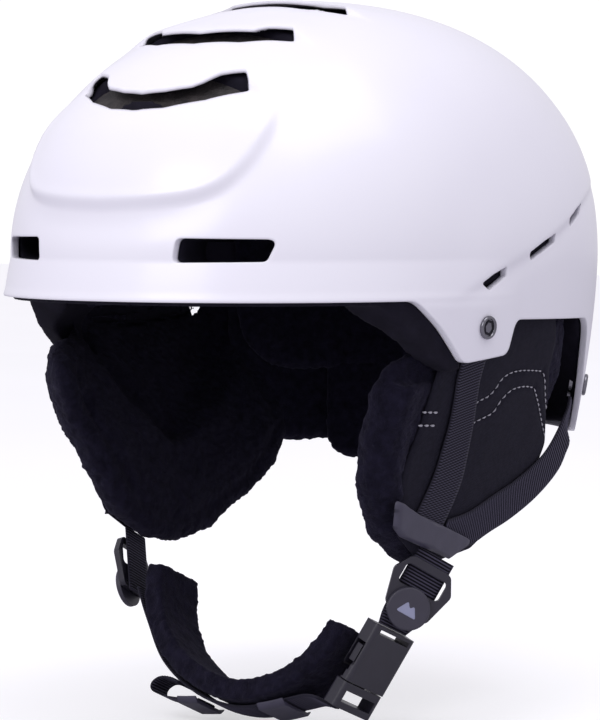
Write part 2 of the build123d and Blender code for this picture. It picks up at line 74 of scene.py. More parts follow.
# ---- camera --------------------------------------------------------------------------------------

CAMERA_AZIMUTH = math.radians(37.75)
CAMERA_RISE = math.radians(3.18)
CAMERA_DISTANCE = 1300.0


def make_camera():
    back = Vector((math.sin(CAMERA_AZIMUTH) * math.cos(CAMERA_RISE),
                   -math.cos(CAMERA_AZIMUTH) * math.cos(CAMERA_RISE), math.sin(CAMERA_RISE)))
    right = Vector((math.cos(CAMERA_AZIMUTH), math.sin(CAMERA_AZIMUTH), 0))
    target = right * -1.67 + Vector((0, 0, -27.92))
    data = bpy.data.cameras.new("camera")
    data.lens = 150.15
    data.sensor_width = 36
    data.clip_end = 20
    camera = bpy.data.objects.new("camera", data)
    turn = Matrix((right, back.cross(right), back)).transposed().to_4x4()
    camera.matrix_world = Matrix.Translation((target + back * CAMERA_DISTANCE) * UNIT) @ turn
    bpy.context.collection.objects.link(camera)
    bpy.context.scene.camera = camera


make_camera()


# ---- materials -----------------------------------------------------------------------------------

class Nodes:
    """A material's node tree, with the few calls that every recipe here uses."""

    def __init__(self, name):
        self.material = bpy.data.materials.new(name)
        self.material.use_nodes = True
        self.tree = self.material.node_tree
        self.shader = self.tree.nodes["Principled BSDF"]
        self.place = self.add("ShaderNodeTexCoord").outputs["Object"]

    def add(self, kind, links=None, **values):
        node = self.tree.nodes.new(kind)
        for key, value in values.items():
            setattr(node, key, value)
        for key, value in (links or {}).items():
            self.feed(node.inputs[key], value)
        return node

    def feed(self, socket, value):
        if hasattr(value, "is_output"):
            self.tree.links.new(value, socket)
        else:
            socket.default_value = value

    def set(self, **values):
        for key, value in values.items():
            self.feed(self.shader.inputs[key.replace("_", " ")], value)

    def noise(self, scale, detail=3.0, rough=0.5):
        return self.add("ShaderNodeTexNoise", {"Vector": self.place, "Scale": scale, "Detail": detail,
                                               "Roughness": rough}).outputs["Fac"]

    def cells(self, scale):
        return self.add("ShaderNodeTexVoronoi", {"Vector": self.place, "Scale": scale}).outputs["Distance"]

    def ramp(self, value, low, high, start=0.3, end=0.7):
        ramp = self.add("ShaderNodeValToRGB", {"Fac": value})
        ramp.color_ramp.elements[0].color = (*low, 1)
        ramp.color_ramp.elements[1].color = (*high, 1)
        ramp.color_ramp.elements[0].position = start
        ramp.color_ramp.elements[1].position = end
        return ramp.outputs["Color"]

    def bump(self, height, strength, distance, before=None):
        node = self.add("ShaderNodeBump", {"Height": height, "Strength": strength, "Distance": distance})
        if before is not None:
            self.feed(node.inputs["Normal"], before)
        return node.outputs["Normal"]


def shell_white():
    made = Nodes("shell_white")
    tone = made.ramp(made.noise(14, 2), (0.785, 0.768, 0.860), (0.805, 0.790, 0.875))
    rounded = made.add("ShaderNodeBevel", {"Radius": 0.0014}, samples=8).outputs["Normal"]
    skin = made.bump(made.noise(900, 2), 0.04, 0.0002, rounded)
    made.set(Base_Color=tone, Roughness=0.34, Normal=skin)
    made.set(Coat_Weight=0.25, Coat_Roughness=0.16, Specular_IOR_Level=0.42)
    return made.material


def foam():
    made = Nodes("foam")
    felt = made.noise(1200, 4, 0.65)
    tone = made.ramp(made.noise(150, 3), (0.0075, 0.0065, 0.0125), (0.0115, 0.010, 0.019))
    made.set(Base_Color=tone, Roughness=0.85, Normal=made.bump(felt, 0.5, 0.0004), Specular_IOR_Level=0.12)
    return made.material


def plush():
    made = Nodes("plush")
    clumps = made.noise(240, 4, 0.62)
    hairs = made.noise(2300, 3, 0.7)
    tone = made.ramp(clumps, (0.0045, 0.003825, 0.00945), (0.0125, 0.011, 0.025))
    rough = made.bump(hairs, 0.9, 0.0006, made.bump(clumps, 0.6, 0.0016))
    made.set(Base_Color=tone, Roughness=0.95, Normal=rough, Specular_IOR_Level=0.08)
    made.set(Sheen_Weight=0.085, Sheen_Roughness=0.4, Sheen_Tint=(0.62, 0.58, 0.85, 1))
    return made.material


def woven(name, tone, pitch, strength, sheen=0.12):
    """Plain-woven cloth: two sets of threads at right angles, along the surface of the flap."""
    made = Nodes(name)
    axes = made.add("ShaderNodeSeparateXYZ", {"Vector": made.place})
    waves = []
    for axis in ("Y", "Z"):
        spot = {0: axes.outputs[axis], 1: 2 * math.pi / pitch}
        angle = made.add("ShaderNodeMath", spot, operation="MULTIPLY")
        waves.append(made.add("ShaderNodeMath", {0: angle.outputs[0]}, operation="SINE").outputs[0])
    weave = made.add("ShaderNodeMath", {0: waves[0], 1: waves[1]}, operation="MULTIPLY").outputs[0]
    dark = tuple(part * 0.7 for part in tone)
    colour = made.ramp(made.noise(500, 3), dark, tone)
    made.set(Base_Color=colour, Roughness=0.85, Specular_IOR_Level=0.1)
    made.set(Normal=made.bump(weave, strength, 0.00025, made.bump(made.noise(120, 3), 0.25, 0.0012)))
    made.set(Sheen_Weight=sheen, Sheen_Roughness=0.4, Sheen_Tint=(0.7, 0.68, 0.85, 1))
    return made.material


def ribbed():
    """Webbing: light ribs and dark furrows, from the strip's own rib value: painted shade in the furrows and
    painted light on the crests.
    """
    made = Nodes("webbing_cloth")
    rib = made.add("ShaderNodeAttribute", attribute_name="rib").outputs["Fac"]
    # painted shade: the furrows are coloured dark and the crests light, following the rib geometry
    colour = made.ramp(rib, (0.004, 0.0036, 0.0065), (0.080, 0.074, 0.116), 0.3, 0.95)
    made.set(Base_Color=colour, Roughness=0.75, Specular_IOR_Level=0.12)
    made.set(Normal=made.bump(made.noise(1800, 3), 0.4, 0.0002))
    made.set(Sheen_Weight=0.05, Sheen_Roughness=0.4, Sheen_Tint=(0.7, 0.68, 0.85, 1))
    return made.material


def plastic(name, tone, rough, grain=0.12):
    made = Nodes(name)
    dark = tuple(part * 0.86 for part in tone)
    colour = made.ramp(made.noise(160, 3), dark, tone)
    edge = made.add("ShaderNodeBevel", {"Radius": 0.0005}, samples=6).outputs["Normal"]
    made.set(Base_Color=colour, Roughness=rough, Specular_IOR_Level=0.5)
    made.set(Normal=made.bump(made.noise(1500, 2), grain, 0.0002, edge))
    return made.material


def metal(name, tone, rough):
    made = Nodes(name)
    colour = made.ramp(made.noise(300, 2), tuple(part * 0.8 for part in tone), tone)
    made.set(Base_Color=colour, Metallic=1.0, Roughness=rough)
    made.set(Normal=made.bump(made.noise(1200, 2), 0.05, 0.0001))
    return made.material


def mesh_cloth():
    made = Nodes("mesh_cloth")
    holes = made.cells(900)
    blotch = made.noise(160, 3)
    tone = made.ramp(blotch, (0.014, 0.012, 0.014), (0.060, 0.050, 0.052), 0.35, 0.75)
    made.set(Base_Color=tone, Roughness=0.7, Normal=made.bump(holes, 0.6, 0.0006))
    return made.material


WHITE = shell_white()
FOAM = foam()
PLUSH = plush()
CLOTH = woven("cover_cloth", (0.0150, 0.0138, 0.0245), 0.0009, 0.5, 0.03)
WEBBING = ribbed()
PLASTIC = plastic("dark_plastic", (0.0175, 0.0155, 0.028), 0.36)
DISC = plastic("disc_plastic", (0.034, 0.031, 0.050), 0.45)
RUBBER = plastic("keeper_rubber", (0.047, 0.043, 0.074), 0.5, 0.2)
STEEL = metal("rivet_steel", (0.21, 0.205, 0.235), 0.2)
# darker steel for the hex sockets: painted shade for the inside of the socket holes
SOCKET_SHADE_STEEL = metal("socket_shade_steel", (0.025, 0.024, 0.032), 0.3)
MESH = mesh_cloth()
THREAD = plastic("thread", (0.42, 0.41, 0.47), 0.7, 0.4)
MARK = plastic("disc_mark", (0.26, 0.27, 0.40), 0.55)

SLOT_MATERIALS = {"shell_white": WHITE, "foam": FOAM, "plush": PLUSH, "cover_fabric": CLOTH, "webbing": WEBBING,
                  "dark_plastic": PLASTIC, "keeper_rubber": RUBBER, "rivet_steel": STEEL, "mesh": MESH}


def paint_nodes():
    for part in frame["record"]["subparts"]:
        node = bpy.data.objects[part["node"]]
        node.data.materials.clear()
        node.data.materials.append(SLOT_MATERIALS[part["material_slot"]])


paint_nodes()


# ---- building pieces -----------------------------------------------------------------------------

def mend(data, weld=0.0, turn=True):
    """Welds points closer than weld metres, and turns the faces outwards."""
    mended = bmesh.new()
    mended.from_mesh(data)
    if weld:
        bmesh.ops.remove_doubles(mended, verts=mended.verts, dist=weld)
    if turn:
        bmesh.ops.recalc_face_normals(mended, faces=mended.faces)
    mended.to_mesh(data)
    mended.free()


def add_piece(name, points, faces, material, body, smooth=True):
    data = bpy.data.meshes.new(name)
    data.from_pydata([Vector(point) * UNIT for point in points], [], faces)
    data.update()
    data.materials.append(material)
    piece = bpy.data.objects.new(name, data)
    bpy.context.collection.objects.link(piece)
    mend(data)
    if smooth:
        data.shade_smooth()
    if body:
        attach(piece, body)
    return piece


def grid_faces(rows, columns, close_rows=False, close_columns=False):
    faces = []
    for i in range(rows if close_rows else rows - 1):
        for j in range(columns if close_columns else columns - 1):
            a, b = i * columns, (i + 1) % rows * columns
            k = (j + 1) % columns
            faces.append((a + j, a + k, b + k, b + j))
    return faces


def shifted(faces, base):
    """The same faces for points that start at base."""
    return [tuple(base + k for k in face) for face in faces]


def end_caps(size, total):
    """The first and the last of a tube's rings, as faces."""
    return [tuple(range(size)), tuple(reversed(range(total - size, total)))]


def settle(piece, *modifiers):
    """Adds modifiers, given as (kind, settings), and turns the piece's mesh into their result."""
    for kind, settings in modifiers:
        modifier = piece.modifiers.new(kind.lower(), kind)
        for key, value in settings.items():
            setattr(modifier, key, value)
    graph = bpy.context.evaluated_depsgraph_get()
    graph.update()
    result = bpy.data.meshes.new_from_object(piece.evaluated_get(graph))
    piece.modifiers.clear()
    old = piece.data
    result.name = old.name + "_made"
    piece.data = result
    bpy.data.meshes.remove(old)
    return piece


def remake(piece, cell, rounds):
    """One closed skin of small even faces, smoothed that many times; the cell is in millimetres."""
    settle(piece, ("REMESH", {"mode": "VOXEL", "voxel_size": cell * UNIT}),
           ("SMOOTH", {"factor": 0.5, "iterations": rounds}))


def smoothstep(low, high, value):
    part = min(max((value - low) / (high - low), 0), 1)
    return part * part * (3 - 2 * part)


def curve_through(points, count):
    """Evenly spaced points on a smooth curve through the given ones, which may be of any size."""
    points = [Vector(point) for point in points]
    ends = [2 * points[0] - points[1]] + points + [2 * points[-1] - points[-2]]
    fine = []
    for i in range(len(points) - 1):
        a, b, c, d = ends[i:i + 4]
        for step in range(24):
            t = step / 24
            fine.append(0.5 * (2 * b + (c - a) * t + (2 * a - 5 * b + 4 * c - d) * t * t
                               + (3 * b - a - 3 * c + d) * t ** 3))
    fine.append(points[-1])
    lengths = [0.0]
    for a, b in zip(fine, fine[1:]):
        lengths.append(lengths[-1] + (b - a).length)
    result, place = [], 0
    for step in range(count):
        goal = lengths[-1] * step / (count - 1)
        while place < len(fine) - 2 and lengths[place + 1] < goal:
            place += 1
        span = lengths[place + 1] - lengths[place] or 1
        result.append(fine[place].lerp(fine[place + 1], (goal - lengths[place]) / span))
    return result


def value_on(table, key):
    """Straight interpolation in a table of (key, value) pairs sorted by key."""
    if key <= table[0][0]:
        return table[0][1]
    for (k0, v0), (k1, v1) in zip(table, table[1:]):
        if key <= k1:
            return v0 + (v1 - v0) * (key - k0) / (k1 - k0)
    return table[-1][1]


def rounded_outline(corners, radii, steps=6):
    """A closed outline whose corners are rounded; corners are 2-D and radii one number or a list."""
    count = len(corners)
    if not hasattr(radii, "__len__"):
        radii = [radii] * count
    outline = []
    for i in range(count):
        corner = Vector(corners[i])
        before = Vector(corners[i - 1]) - corner
        after = Vector(corners[(i + 1) % count]) - corner
        reach = radii[i] / max(math.tan(before.angle(after) / 2), 0.2)
        cut = min(reach, before.length * 0.45, after.length * 0.45)
        start, end = corner + before.normalized() * cut, corner + after.normalized() * cut
        for step in range(steps + 1):
            t = step / steps
            outline.append(start.lerp(corner, t).lerp(corner.lerp(end, t), t))
    return outline


def filled_in(outline, gap):
    """The outline with more points, so that none are further apart than about gap."""
    dense = []
    for a, b in zip(outline, outline[1:] + outline[:1]):
        steps = max(int((b - a).length / gap), 1)
        dense += [a.lerp(b, step / steps) for step in range(steps)]
    return dense


# ---- the dome ------------------------------------------------------------------------------------

HALF_WIDTH, FRONT_REACH, REAR_REACH, CROWN, WIDEST = 113.0, 135.2, 148.8, 126.4, 18.5
PLAN_POWER = 2.11
FRONT_POWER, REAR_POWER = 1.84, 2.41
CROWN_SHIFT = -2.8
LOWEST = -75.0
LOWER_TUCK, TUCK_SPAN, TUCK_POWER = 9, 80.5, 1.6
NAPE_LEVEL = -61.0
SHELL_WALL, LIP_THINNING = 3.0, 1.9
BRIM_FLARE = 4.5
BRIM_CREASE = 17.5


def dome_power(cosine):
    """The dome's roundness for the cosine of a turn: 1 at the brow, -1 at the nape."""
    return REAR_POWER + (FRONT_POWER - REAR_POWER) * ((cosine + 1) / 2)


def lower_ring(level):
    """How much of its widest size the dome keeps at a level under the widest one."""
    return 1 - LOWER_TUCK / HALF_WIDTH * (max(WIDEST - level, 0) / TUCK_SPAN) ** TUCK_POWER


def dome_point(turn, part, depth=0.0):
    """A point of the dome. turn goes from the brow round by the left; part is 0 at the crown, 1 at the
    widest level and 2 at the bottom."""
    across, along = math.sin(turn), -math.cos(turn)
    reach = (FRONT_REACH if along < 0 else REAR_REACH) - depth
    if part <= 1:
        power = dome_power(math.cos(turn))
        angle = (1 - part) * math.pi / 2
        ring = max(math.cos(angle), 0) ** (2 / power)
        rise = math.sin(angle) ** (2 / power)
        level = WIDEST + rise * (CROWN - depth - WIDEST)
    else:
        level = WIDEST + (part - 1) * (LOWEST - WIDEST)
        ring = lower_ring(level)
        rise = 0
    spread = ring / (abs(across) ** PLAN_POWER + abs(along) ** PLAN_POWER) ** (1 / PLAN_POWER)
    return Vector(((HALF_WIDTH - depth) * spread * across, CROWN_SHIFT * rise + reach * spread * along, level))


def dome_normal(turn, part, depth=0.0):
    step = 0.002
    part = min(max(part, 0.02), 1.98)
    around = dome_point(turn + step, part, depth) - dome_point(turn - step, part, depth)
    down = dome_point(turn, part + step, depth) - dome_point(turn, part - step, depth)
    return down.cross(around).normalized()


PANEL_EDGE = [(0, 38.7), (22, 39.6), (40, 41.8), (50, 46), (56, 53.5), (58.8, 62.5), (58.8, 71.5), (56, 81.5),
              (49, 89)]
SLOT_LIPS = ([(0, -108.5, 82.4), (12, -106, 82.9), (22, -102, 84.2), (26, -98.5, 87), (31, -94, 88.6),
              (38, -89, 90)],
             [(0, -71, 107), (22, -66, 108.5), (27, -61.5, 110.5), (38, -57, 110.5)],
             [(0, -25.5, 121), (26, -25.5, 120), (35, -18, 119)])
CREASE = [(-46, 0.5), (-38, 3.6), (-26.4, 8.3), (-12.4, 13.9), (6, 19.8), (26.5, 27), (43, 33.2), (57.3, 39),
          (65.6, 42), (75.8, 44.9), (90, 48.5), (110, 52), (150, 54)]


def polyline_distance(point, line):
    best = 1e9
    for a, b in zip(line, line[1:]):
        way = b - a
        t = min(max((point - a).dot(way) / way.length_squared, 0), 1)
        best = min(best, (a + way * t - point).length)
    return best


PANEL_LINE = curve_through([Vector((x, z, 0)) for x, z in PANEL_EDGE], 40)
LIP_LINES = [curve_through(line, 12) for line in SLOT_LIPS]


def side_distance(u, v, line):
    """Distance from a flat line of points, positive on its left."""
    best, side = 1e9, 1
    point = Vector((u, v, 0))
    for a, b in zip(line, line[1:]):
        way = b - a
        t = min(max((point - a).dot(way) / way.length_squared, 0), 1)
        gap = point - a - way * t
        if gap.length < best:
            best, side = gap.length, 1 if way.cross(gap).z >= 0 else -1
    return best * side


def panel_relief(spot):
    if spot.y > -60 or spot.z < 20 or spot.z > 92:
        return 0
    across = abs(spot.x)
    signed = side_distance(across, spot.z, PANEL_LINE)
    fade = 1 - smoothstep(66, 90, spot.z)
    roll = smoothstep(-2.0, 3.2, signed)
    bead = 0.45 * math.exp(-((signed - 2.6) / 2.6) ** 2)
    hollow = -1.1 * math.exp(-((signed + 6.5) / 6.5) ** 2) * (1 - smoothstep(25, 60, across))
    return fade * (2.5 * roll + bead + hollow)


def lip_relief(spot):
    """The crown stands up behind each slot's rear edge and dips before it."""
    mirrored = Vector((abs(spot.x), spot.y, spot.z))
    if spot.z < 60:
        return 0
    total = 0
    for line, height, reach in zip(LIP_LINES, (2.3, 1.9, 1.2), (15, 14, 12)):
        distance = polyline_distance(mirrored, line)
        if distance > 40:
            continue
        edge = value_on([(p.x, p.y) for p in line], mirrored.x)
        behind = spot.y - edge
        ends = 1 - smoothstep(36, 60, mirrored.x)
        raised = smoothstep(-2.4, -0.2, behind)
        total += height * math.exp(-(distance / reach) ** 2) * ends * raised
        total -= 0.9 * math.exp(-(distance / 9) ** 2) * ends * (1 - raised)
    return total


def crease_relief(spot):
    if spot.y < -50 or spot.z < -12 or spot.z > 95:
        return 0
    level = value_on(CREASE, spot.y)
    above = spot.z - level
    fade = smoothstep(-46, -20, spot.y) * (1 - smoothstep(70, 120, spot.y))
    step = 0.9 * smoothstep(-1.8, 1.8, above) * (1 - smoothstep(6, 42, above))
    return fade * (step - 0.3 * math.exp(-((above + 3) / 4) ** 2))


def brim_relief(turn, spot):
    facing = math.cos(turn)
    if facing <= 0 or spot.z > BRIM_CREASE + 1:
        return 0
    down = smoothstep(-0.6, 0.6, BRIM_CREASE - spot.z) * max(BRIM_CREASE - spot.z, 0) / 16
    bead = 0.45 * math.exp(-((spot.z - 3.0) / 1.1) ** 2)
    return facing ** 0.7 * (BRIM_FLARE * min(down, 1.15) + bead)


def lip_nearness(spot):
    """1 at the rear edges of the crown slots, where the wall is thinner, and 0 away from them."""
    if spot.z < 60 or abs(spot.x) > 60:
        return 0
    mirrored = Vector((abs(spot.x), spot.y, spot.z))
    return max(math.exp(-(polyline_distance(mirrored, line) / 9) ** 2) for line in LIP_LINES)


def shell_spot(turn, part, depth=0.0):
    """A point of the shell, or a wall under it; the relief is the outer surface's at every depth."""
    outer = dome_point(turn, part)
    if depth == SHELL_WALL:
        depth -= LIP_THINNING * lip_nearness(outer)
    spot = dome_point(turn, part, depth)
    push = panel_relief(outer) + lip_relief(outer) + crease_relief(outer) + brim_relief(turn, outer)
    return spot + dome_normal(turn, part, depth) * push if abs(push) > 1e-4 else spot


def shell_rows(fine):
    """Row values from the crown down, closer together at the brim crease and the lower edge."""
    crown_rows = 58 if fine == 1 else 156
    rows = [0.012 + 0.988 * step / crown_rows for step in range(crown_rows + 1)]
    rows += [1 + (step + 1) / (44 * fine) for step in range(44 * fine)]
    return rows


def closed_dome(outer_depth, inner_depth, columns, fine, spot=shell_spot):
    """A closed wall between two depths: an outer skin, an inner one, and the ring that joins them."""
    points, faces = [], []
    rows = shell_rows(fine)
    for depth, flip in ((outer_depth, False), (inner_depth, True)):
        base = len(points)
        for part in rows:
            points += [spot(2 * math.pi * j / columns, part, depth) for j in range(columns)]
        skin = grid_faces(len(rows), columns, close_columns=True)
        faces += shifted([tuple(reversed(face)) for face in skin] if flip else skin, base)
        points.append(dome_point(0, 0, depth))
        top = len(points) - 1
        for j in range(columns):
            k = (j + 1) % columns
            faces.append((top, base + k, base + j) if not flip else (top, base + j, base + k))
    count = len(rows) * columns
    low, other = count - columns, 2 * count + 1 - columns
    for j in range(columns):
        k = (j + 1) % columns
        faces.append((low + j, low + k, other + k, other + j))
    return points, faces


def prism(outline, place, start, end):
    """A closed prism; place(u, v, w) gives a point from the outline's u, v and the depth w."""
    count = len(outline)
    points = [place(p[0], p[1], w) for w in (start, end) for p in outline]
    faces = [tuple(range(count)), tuple(reversed(range(count, 2 * count)))]
    for i in range(count):
        k = (i + 1) % count
        faces.append((i, i + count, k + count, k))
    return points, faces


def cut_away(piece, prisms):
    """Takes closed prisms out of a piece."""
    points, faces = [], []
    for some_points, some_faces in prisms:
        base = len(points)
        points += some_points
        faces += shifted(some_faces, base)
    data = bpy.data.meshes.new("cutter")
    data.from_pydata([Vector(point) * UNIT for point in points], [], faces)
    cutter = bpy.data.objects.new("cutter", data)
    bpy.context.collection.objects.link(cutter)
    mend(data)
    settle(piece, ("BOOLEAN", {"operation": "DIFFERENCE", "solver": "EXACT", "object": cutter,
                               "use_self": False}))
    bpy.data.objects.remove(cutter)


def smooth_by_angle(piece, degrees):
    bpy.context.view_layer.objects.active = piece
    for other in bpy.context.selected_objects:
        other.select_set(False)
    piece.select_set(True)
    bpy.ops.object.shade_smooth_by_angle(angle=math.radians(degrees))
    piece.select_set(False)


LOWER_EDGE = [(-150, 1.5), (-62, 1.5), (-49, -9.6), (-35.8, -24.2), (-7.2, -21.6), (-2.6, -7.4), (74, -9.4),
              (78, -30), (86, -52), (92, -61), (170, -61)]
LOWER_ROUNDS = [1, 9, 60, 6.5, 6, 6, 12, 30, 14, 12, 1]
FRONT_SLOT = [(0, -111.6), (14, -109.8), (30, -102.6), (44, -92), (38.5, -87.6), (30, -92.6), (25.5, -98.6),
              (22, -101.5), (11, -105.2), (0, -106.6)]
MIDDLE_SLOT = [(0, -74.5), (22, -71.5), (42, -60.5), (37.5, -55.8), (28.5, -60.5), (24, -65.6), (0, -70.2)]
REAR_SLOT = [(21, -29.5), (40, -21.5), (33, -15.5), (24, -20.5), (19, -24.5)]
SLOT_CORNER = 1.4
BROW_VENT = [(35, 17.0), (67.6, 17.4), (70.8, 26.2), (36.2, 26.6)]
SIDE_VENTS = [[(-27.6, 8.0), (-21, 11.4), (-11.6, 14.6), (-11.2, 10.6), (-22.5, 5.0)],
              [(5.0, 20.0), (16, 24.4), (27.6, 27.8), (26.6, 23.8), (6.8, 16.6)],
              [(41.8, 33.8), (50, 37.6), (59, 40.4), (55.4, 35.4), (43, 30.2)]]


def side_cut(outline):
    """A prism right across the helmet, from an outline of y and z."""
    return prism(outline, lambda u, v, w: (w, u, v), -140, 140)


def crown_cut(outline, low):
    """A prism up through the crown, from an outline of x and y."""
    return prism(outline, lambda u, v, w: (u, v, w), low, 150)


def brow_cut(outline, sign):
    """A prism in through the brow on one side, from an outline of x and z."""
    return prism(outline, lambda u, v, w: (sign * u, w, v), -160, -60)


def whole_slot(half):
    """All of a slot's corners, from its right end, from the left half's ones."""
    corners = half + [(-x, y) for x, y in reversed(half) if x]
    first = corners.index(min(corners))
    return corners[first:] + corners[:first]


def shell_prisms():
    edge = rounded_outline(LOWER_EDGE + [(170, -140), (-150, -140)], LOWER_ROUNDS + [1, 1], 10)
    prisms = [side_cut(edge)]
    for half in (FRONT_SLOT, MIDDLE_SLOT, REAR_SLOT):
        corners = whole_slot(half)
        radii = [SLOT_CORNER if abs(x) > 35 else 9 if abs(x) < 15 else 4 for x, _ in corners]
        prisms.append(crown_cut(rounded_outline(corners, radii), 60))
    vent = rounded_outline(BROW_VENT, [2.2, 2.4, 2.6, 2.6])
    prisms += [brow_cut(vent, 1), brow_cut(vent, -1)]
    for corners in SIDE_VENTS:
        outline = rounded_outline(corners, 0.9)
        for sign in (1, -1):
            prisms.append(prism(outline, lambda u, v, w, sign=sign: (sign * w, u, v), 60, 140))
    return prisms


def make_shell():
    fine = 2
    points, faces = closed_dome(0, SHELL_WALL, 180 * fine, fine)
    shell = add_piece("helmet_shell", points, faces, WHITE, "shell")
    cut_away(shell, shell_prisms())
    smooth_by_angle(shell, 35)
    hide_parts("outer_shell")


make_shell()


# ---- foam liner and the mesh behind the slots ----------------------------------------------------

FOAM_EDGE = [(-150, 0), (-73, 0), (-69, -3), (-61, -13.6), (-51, -21.5), (-39, -27.5), (-33, -28), (-32, 6),
             (68, 6), (72, -12), (91, -46), (91, -57), (170, -57), (170, -140), (-150, -140)]


def foam_spot(turn, part, depth):
    """The liner's outer face follows the shell; its inner face thins to a skirt before the ears."""
    if depth < 10:
        return shell_spot(turn, part, depth)
    spot = dome_point(turn, part, depth)
    thin = smoothstep(-3, -14, spot.z) * smoothstep(0, -30, spot.y)
    return dome_point(turn, part, depth - 10.5 * thin) if thin else spot


def make_foam():
    points, faces = closed_dome(3.4, 20.0, 180, 1, foam_spot)
    liner = add_piece("foam_liner", points, faces, FOAM, "shell")
    cut_away(liner, [side_cut(rounded_outline(FOAM_EDGE, 3))])
    prisms = [brow_cut(rounded_outline(BROW_VENT, 2), sign) for sign in (1, -1)]
    for y, half in ((-97, 40), (-65, 37), (-23, 33)):
        corners = [(-half, y - 9), (half, y - 9), (half, y + 8), (-half, y + 8)]
        prisms.append(crown_cut(rounded_outline(corners, 3), 55))
    cut_away(liner, prisms)
    cell = 1.4
    remake(liner, cell, 5)
    liner.data.shade_smooth()
    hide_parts("eps_liner")


def dome_height(x, y, depth):
    """The level of the crown's surface above a point of the plan."""
    rise = 1.0
    for _ in range(6):
        reach = (FRONT_REACH if y < CROWN_SHIFT * rise else REAR_REACH) - depth
        across, along = abs(x) / (HALF_WIDTH - depth), (y - CROWN_SHIFT * rise) / reach
        power = dome_power(math.cos(math.atan2(across, -along)))
        ring = (across ** PLAN_POWER + abs(along) ** PLAN_POWER) ** (1 / PLAN_POWER)
        rise = max(1 - min(ring, 1) ** power, 0) ** (1 / power)
    return WIDEST + rise * (CROWN - depth - WIDEST)


MESH_PATCHES = ((-116, -82), (-80, -51), (-36, -10))


def make_mesh():
    points, faces = [], []
    rows, columns = 22, 60
    for start, end in MESH_PATCHES:
        for depth in (4.4, 5.4):
            base = len(points)
            for i in range(rows):
                y = start + (end - start) * i / (rows - 1)
                for j in range(columns):
                    x = -47 + 94 * j / (columns - 1)
                    ripple = 0.25 * noise.noise(Vector((x / 3, y / 3, 4)))
                    points.append((x, y, dome_height(x, y, depth + ripple)))
            skin = shifted(grid_faces(rows, columns), base)
            faces += skin if depth < 5 else [tuple(reversed(face)) for face in skin]
        top, low = base - rows * columns, base
        ring = [j for j in range(columns)] + [i * columns + columns - 1 for i in range(1, rows)]
        ring += [(rows - 1) * columns + j for j in range(columns - 2, -1, -1)]
        ring += [i * columns for i in range(rows - 2, 0, -1)]
        for a, b in zip(ring, ring[1:] + ring[:1]):
            faces.append((top + a, top + b, low + b, low + a))
    mesh = add_piece("slot_mesh", points, faces, MESH, "shell")
    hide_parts("vent_mesh")


make_foam()
make_mesh()


# ---- plush and padded pieces ---------------------------------------------------------------------

def pile(piece, height, grain, seed):
    """Pushes a pad's surface in and out in small tufts, as pile does."""
    shift = Vector((seed * 7.3, seed * 3.1, seed * 5.7))
    normals = [vertex.normal.copy() for vertex in piece.data.vertices]
    for vertex, normal in zip(piece.data.vertices, normals):
        spot = vertex.co / UNIT
        coarse = noise.noise(spot / (grain * 5) + shift)
        middle = noise.noise(spot / (grain * 1.9) + shift)
        tuft = noise.noise(spot / grain + shift)
        push = height * (0.9 * coarse + 0.55 * middle + 0.9 * tuft)
        vertex.co += normal * push * UNIT


def pad_from(node, body, voxel, rounds, seed, height):
    """A plush pad in the space of a CAD solid: remeshed, rounded off and given its pile."""
    source = bpy.data.objects[node]
    data = source.data.copy()
    data.name = node + "_pad"
    data.materials.clear()
    data.materials.append(PLUSH)
    pad = bpy.data.objects.new(node.replace("_pad", "") + "_plush", data)
    bpy.context.collection.objects.link(pad)
    remake(pad, voxel, rounds)
    pile(pad, height, 2.0 if voxel < 2 else 2.6, seed)
    pad.data.shade_smooth()
    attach(pad, body)
    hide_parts(node)


PADS = (("brow_pad", "shell", 1.6, 6), ("crown_pad", "shell", 1.8, 8), ("side_pad_left", "shell", 1.8, 8),
        ("side_pad_right", "shell", 1.8, 8), ("chin_pad", "chin_strap", 1.0, 8))


def make_pads():
    coarse = 1.0
    for seed, (node, body, voxel, rounds) in enumerate(PADS):
        height = 0.5 if body == "chin_strap" else 0.8
        pad_from(node, body, voxel * coarse, int(rounds / coarse), seed + 1, height)


def lined_band(name, start, end, low, high, outer, inner, seed=1, corner=8.0):
    """A plush band inside the dome between two turns, two levels and two depths, with rolled edges."""
    columns, rows = ((120, 30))
    points = []
    for i in range(columns):
        t = i / (columns - 1)
        end_gap = min(t, 1 - t) * (end - start) * 110
        turn = start + (end - start) * t
        base = low + corner * (1 - math.sqrt(1 - (1 - min(end_gap / corner, 1)) ** 2))
        middle, half = (outer + inner) / 2, (inner - outer) / 2
        half *= 0.25 + 0.75 * math.sqrt(smoothstep(0, 9, end_gap))
        for k in range(2 * rows):
            front = k < rows
            v = (k if front else 2 * rows - 1 - k) / (rows - 1)
            level = base + (high - base) * v
            rim = min(v, 1 - v) * (high - base)
            rounding = 1 - math.sqrt(max(1 - (1 - min(rim / 6, 1)) ** 2, 0))
            depth = middle + (half - rounding * half) * (1 if front else -1)
            if level > WIDEST:
                rise = (level - WIDEST) / (CROWN - depth - WIDEST)
                part = 1 - math.asin(min(rise, 1) ** (dome_power(math.cos(turn)) / 2)) * 2 / math.pi
            else:
                part = 1 + (WIDEST - level) / (WIDEST - LOWEST)
            points.append(dome_point(turn, part, depth))
    faces = grid_faces(columns, 2 * rows, close_columns=True)
    faces += end_caps(2 * rows, columns * 2 * rows)
    band = add_piece(name, points, faces, PLUSH, "shell")
    remake(band, 1.3, 4)
    pile(band, 0.7, 2.2, seed)
    band.data.shade_smooth()
    return band


